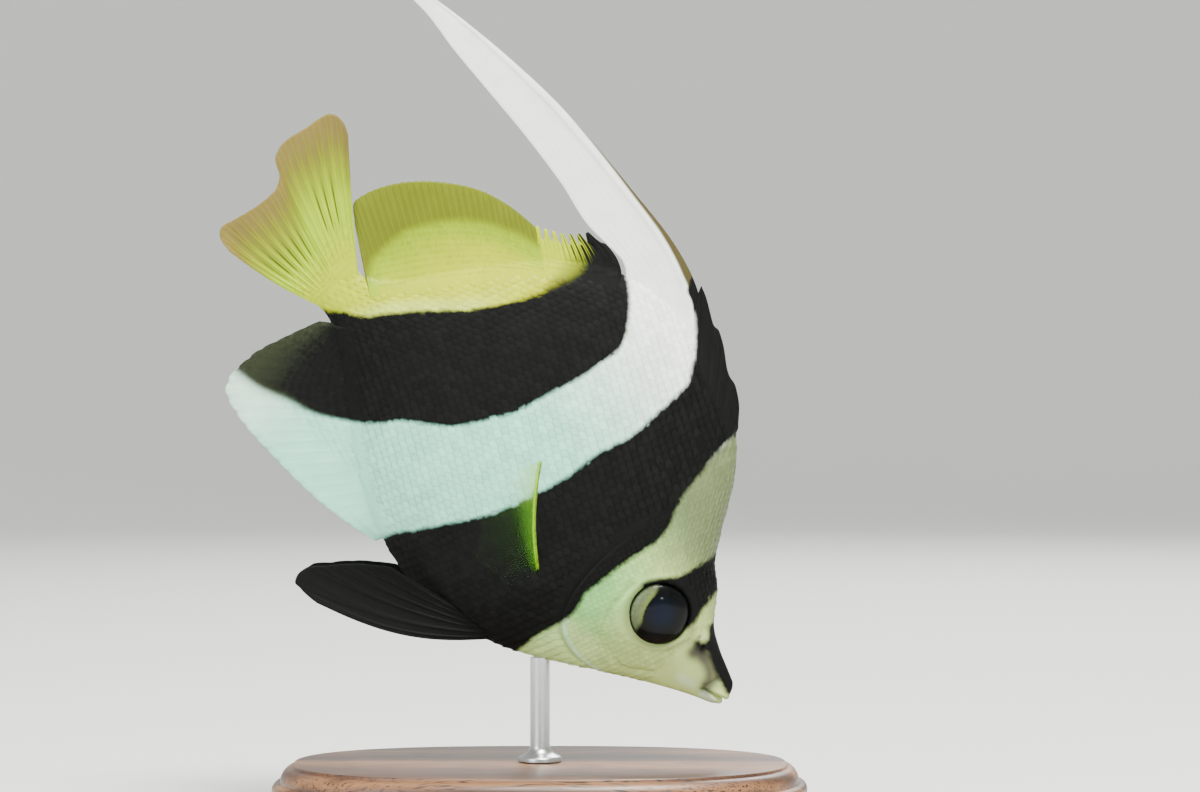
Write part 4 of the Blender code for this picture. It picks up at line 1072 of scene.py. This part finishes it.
def build_pennant(finish):
    """The streamer: a ribbon between a front and a rear edge that sweep to one tip, thick at its spine."""
    front, rear = fin_curve(PENNANT_FRONT), fin_curve([
        (88, 47), (90.4, 52.3), (94.5, 54.3), (104, 54), (117.8, 56.4), (131.1, 57.9), (144.3, 58.8),
        (158.2, 59.7), (170.5, 61), (187, 59.4), (205, 54.6)])
    fibres = 9

    def middle(u, v):
        points = front(v) * (1 - u)[..., None] + rear(v) * u[..., None]
        return moved_aside(points, 2.5 * v ** 2 + 0.35 * np.sin(v * 14.0 + u * 3.0) * u * v)

    def ray_share(u, v):
        return bell((u * fibres) % 1 - 0.5, 0.2) * 0.5

    def thickness(u, v):
        taper = np.clip(1 - v, 0, 1) ** 0.8
        grown = 0.9 * np.clip(1 - v / 0.09, 0, 1) ** 2
        return 0.09 + (0.10 + 0.5 * bell(u - 0.13, 0.09) + 0.09 * ray_share(u, v)) * taper + grown

    build_fin("dorsal_pennant", (middle, thickness, ray_share), fibres, 190, 8, finish, "white_fin",
              paint_pennant)


# Eyes

def eye_frame(side):
    """The eye's place on the flank, and its outward, tailward and upward directions."""
    s, d = EYE_AT
    at = np.array([s, d, side * float(skin_side(s, d))])
    out = np.array([-math.sin(EYE_FORWARD) * math.cos(EYE_UP), math.sin(EYE_UP),
                    side * math.cos(EYE_FORWARD) * math.cos(EYE_UP)])
    tailward = np.cross([0, 1, 0], out) * side
    tailward /= np.linalg.norm(tailward)
    upward = np.cross(out, tailward) * side
    return at, out, tailward, upward / np.linalg.norm(upward)


def build_eyes(finish):
    """Each eye, a superellipse turned about its axis: radius R cos(t)^p, height H sin(t)^p."""
    power = 2 / EYE_SQUARENESS
    turn = round_turn(EYE_SIDES)
    tilt = np.append(np.linspace(-1.5, 0, 12)[:-1], math.pi / 2 * (1 - np.linspace(1, 0.02, 44) ** 1.5))
    radius = EYE_RADIUS * np.cos(tilt) ** power
    height = EYE_DEPTH * np.sign(tilt) * np.abs(np.sin(tilt)) ** power
    for hand, side in HANDS:
        at, out, tailward, upward = eye_frame(side)
        centre = at - EYE_SINK * out
        spokes = np.cos(turn)[:, None] * tailward + np.sin(turn)[:, None] * upward
        rings = centre + height[:, None, None] * out + radius[:, None, None] * spokes
        points, faces = closed_rings(rings, [centre - EYE_DEPTH * out, centre + EYE_DEPTH * out])
        flat = points - centre
        add_piece("eye_" + hand, to_world(points), [part[:, ::side] for part in faces], finish, "eye",
                  ("eye_" + hand,), {"across": np.linalg.norm(flat - (flat @ out)[:, None] * out, axis=1),
                                     "tailward": flat @ tailward, "upward": flat @ upward})


# The stand

def turned_solid(name, section, outline, finish, slot):
    """Rings of one outline function along a section of pairs with the height last, closed flat at both
    ends."""
    rings = np.stack([outline(width, height) for width, height in section])
    points, faces = closed_rings(rings, [rings[0].mean(0), rings[-1].mean(0)])
    add_piece(name, points * MM, faces, finish, slot, (name,), sharp=35)


def level_ring(radius, height, sides=64):
    """The points of a level circle round the z axis."""
    turn = round_turn(sides)
    return np.column_stack([radius * np.cos(turn), radius * np.sin(turn), np.full(sides, height)])


def build_stand(wood, steel):
    """The base, a superellipse that draws in by a foot, a bead and a cove, and the rod with its collar."""
    turn = round_turn(BASE_SIDES)
    round_x, round_y = (np.sign(part) * np.abs(part) ** (2 / BASE_ROUNDNESS)
                        for part in (np.cos(turn), np.sin(turn)))

    def oval(inset, height):
        return np.column_stack([(BASE_HALF_LENGTH - inset) * round_x, (BASE_HALF_WIDTH - inset) * round_y,
                                np.full(len(turn), height)])

    foot = [(0.8 * (1 - math.sin(a)), 0.8 * (1 - math.cos(a))) for a in np.radians([0, 30, 60, 90])]
    bead = [(0.0, 6.2), (0.06, 6.6), (0.25, 7.0), (0.6, 7.3), (1.0, 7.45), (1.75, 7.5), (1.9, 7.6)]
    cove = [(1.9 + 2.6 * (1 - math.cos(a)), 7.6 + 3.6 * math.sin(a))
            for a in np.radians(np.arange(10, 91, 8))]
    top = [(4.7, 11.3), (4.75, 11.7), (4.95, 11.93), (5.3, BASE_HEIGHT), (20, BASE_HEIGHT), (38, BASE_HEIGHT)]
    turned_solid("stand_base", foot + bead + cove + top, oval, wood, "stand_wood")

    low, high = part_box("stand_rod")
    collar = [(5.2, 0.0), (5.2, 0.7), (5.1, 0.95), (4.85, 1.15), (4.3, 1.4), (3.5, 1.8), (2.9, 2.4),
              (ROD_RADIUS + 0.1, 3.1), (ROD_RADIUS, 3.6)]
    section = [(radius, height + low.z / MM) for radius, height in collar] + [(ROD_RADIUS, high.z / MM)]
    turned_solid("stand_rod", section, level_ring, steel, "stand_steel")


# The studio

def build_studio():
    """A pale floor that curves up into a round wall far off, three soft lamps, a small one for the light in
    the eye, and the camera. Its sizes are in metres."""
    sides = 96
    bend = np.radians(np.arange(0, 91, 6))
    section = [(0.4, 0.0), (1.0, 0.0)] + [(1.7 + math.sin(a), 1 - math.cos(a)) for a in bend] + [(2.7, 3.2)]
    points = np.concatenate([level_ring(radius, height, sides) for radius, height in section] + [[[0, 0, 0]]])
    faces = [*grid_faces(len(section), sides, wrap=True)[:, ::-1].tolist(),
             *fan(np.arange(sides), len(points) - 1).tolist()]
    mesh = bpy.data.meshes.new("studio_floor")
    mesh.from_pydata(points.tolist(), [], faces)
    mesh.shade_smooth()
    floor = place("studio_floor", mesh)
    made, _, shader = new_material("studio_floor_paint")
    feed(shader, {"Base Color": four("#DEDFDD"), "Roughness": 0.85})
    mesh.materials.append(made)

    for name, at, size, watts, colour in (("key_lamp", (0.25, -0.5, 1.30), 0.5, 54, "#FFFDF6"),
                                          ("fill_lamp", (-0.9, -1.1, 0.60), 0.7, 13, "#F1F8FF"),
                                          ("back_lamp", (0.35, 1.1, 0.95), 0.6, 16, "#FFFFFF"),
                                          ("eye_lamp", (0.30, -0.52, 0.15), 0.02, 0.22, "#EEF5FF")):
        lamp = bpy.data.lights.new(name, "AREA")
        lamp.size = size
        lamp.energy = watts
        lamp.color = hex_linear(colour)
        held = place(name, lamp)
        held.location = at
        held.rotation_euler = (Vector(LAMP_TARGET) - Vector(at)).to_track_quat("-Z", "Y").to_euler()
    world = bpy.data.worlds.new("studio_air")
    bpy.context.scene.world = world
    world.use_nodes = True
    feed(world.node_tree.nodes["Background"], {"Color": four("#F2F5F8"), "Strength": 0.6})

    lens = bpy.data.cameras.new("camera")
    lens.lens = LENS_MM
    lens.sensor_width = SENSOR_MM
    lens.sensor_fit = "HORIZONTAL"
    camera = place("camera", lens)
    camera.location = [value * MM for value in CAMERA_AT]
    camera.rotation_euler = (math.pi / 2, 0, 0)
    bpy.context.scene.camera = camera


wet_skin = fish_skin("fish_skin_wet")
scale_skin = fish_skin("fish_scales_wet", pearly=0.12)
fin_skin = fish_skin("fin_skin_wet")
fin_membrane = fish_skin("fin_membrane_clear", see_through=True)
build_skin(wet_skin)
build_scales(scale_skin)
build_fins(fin_skin, fin_membrane, scale_skin)
build_eyes(glassy_eye())
build_stand(oiled_walnut(), brushed_steel())
build_studio()
bpy.context.view_layer.update()
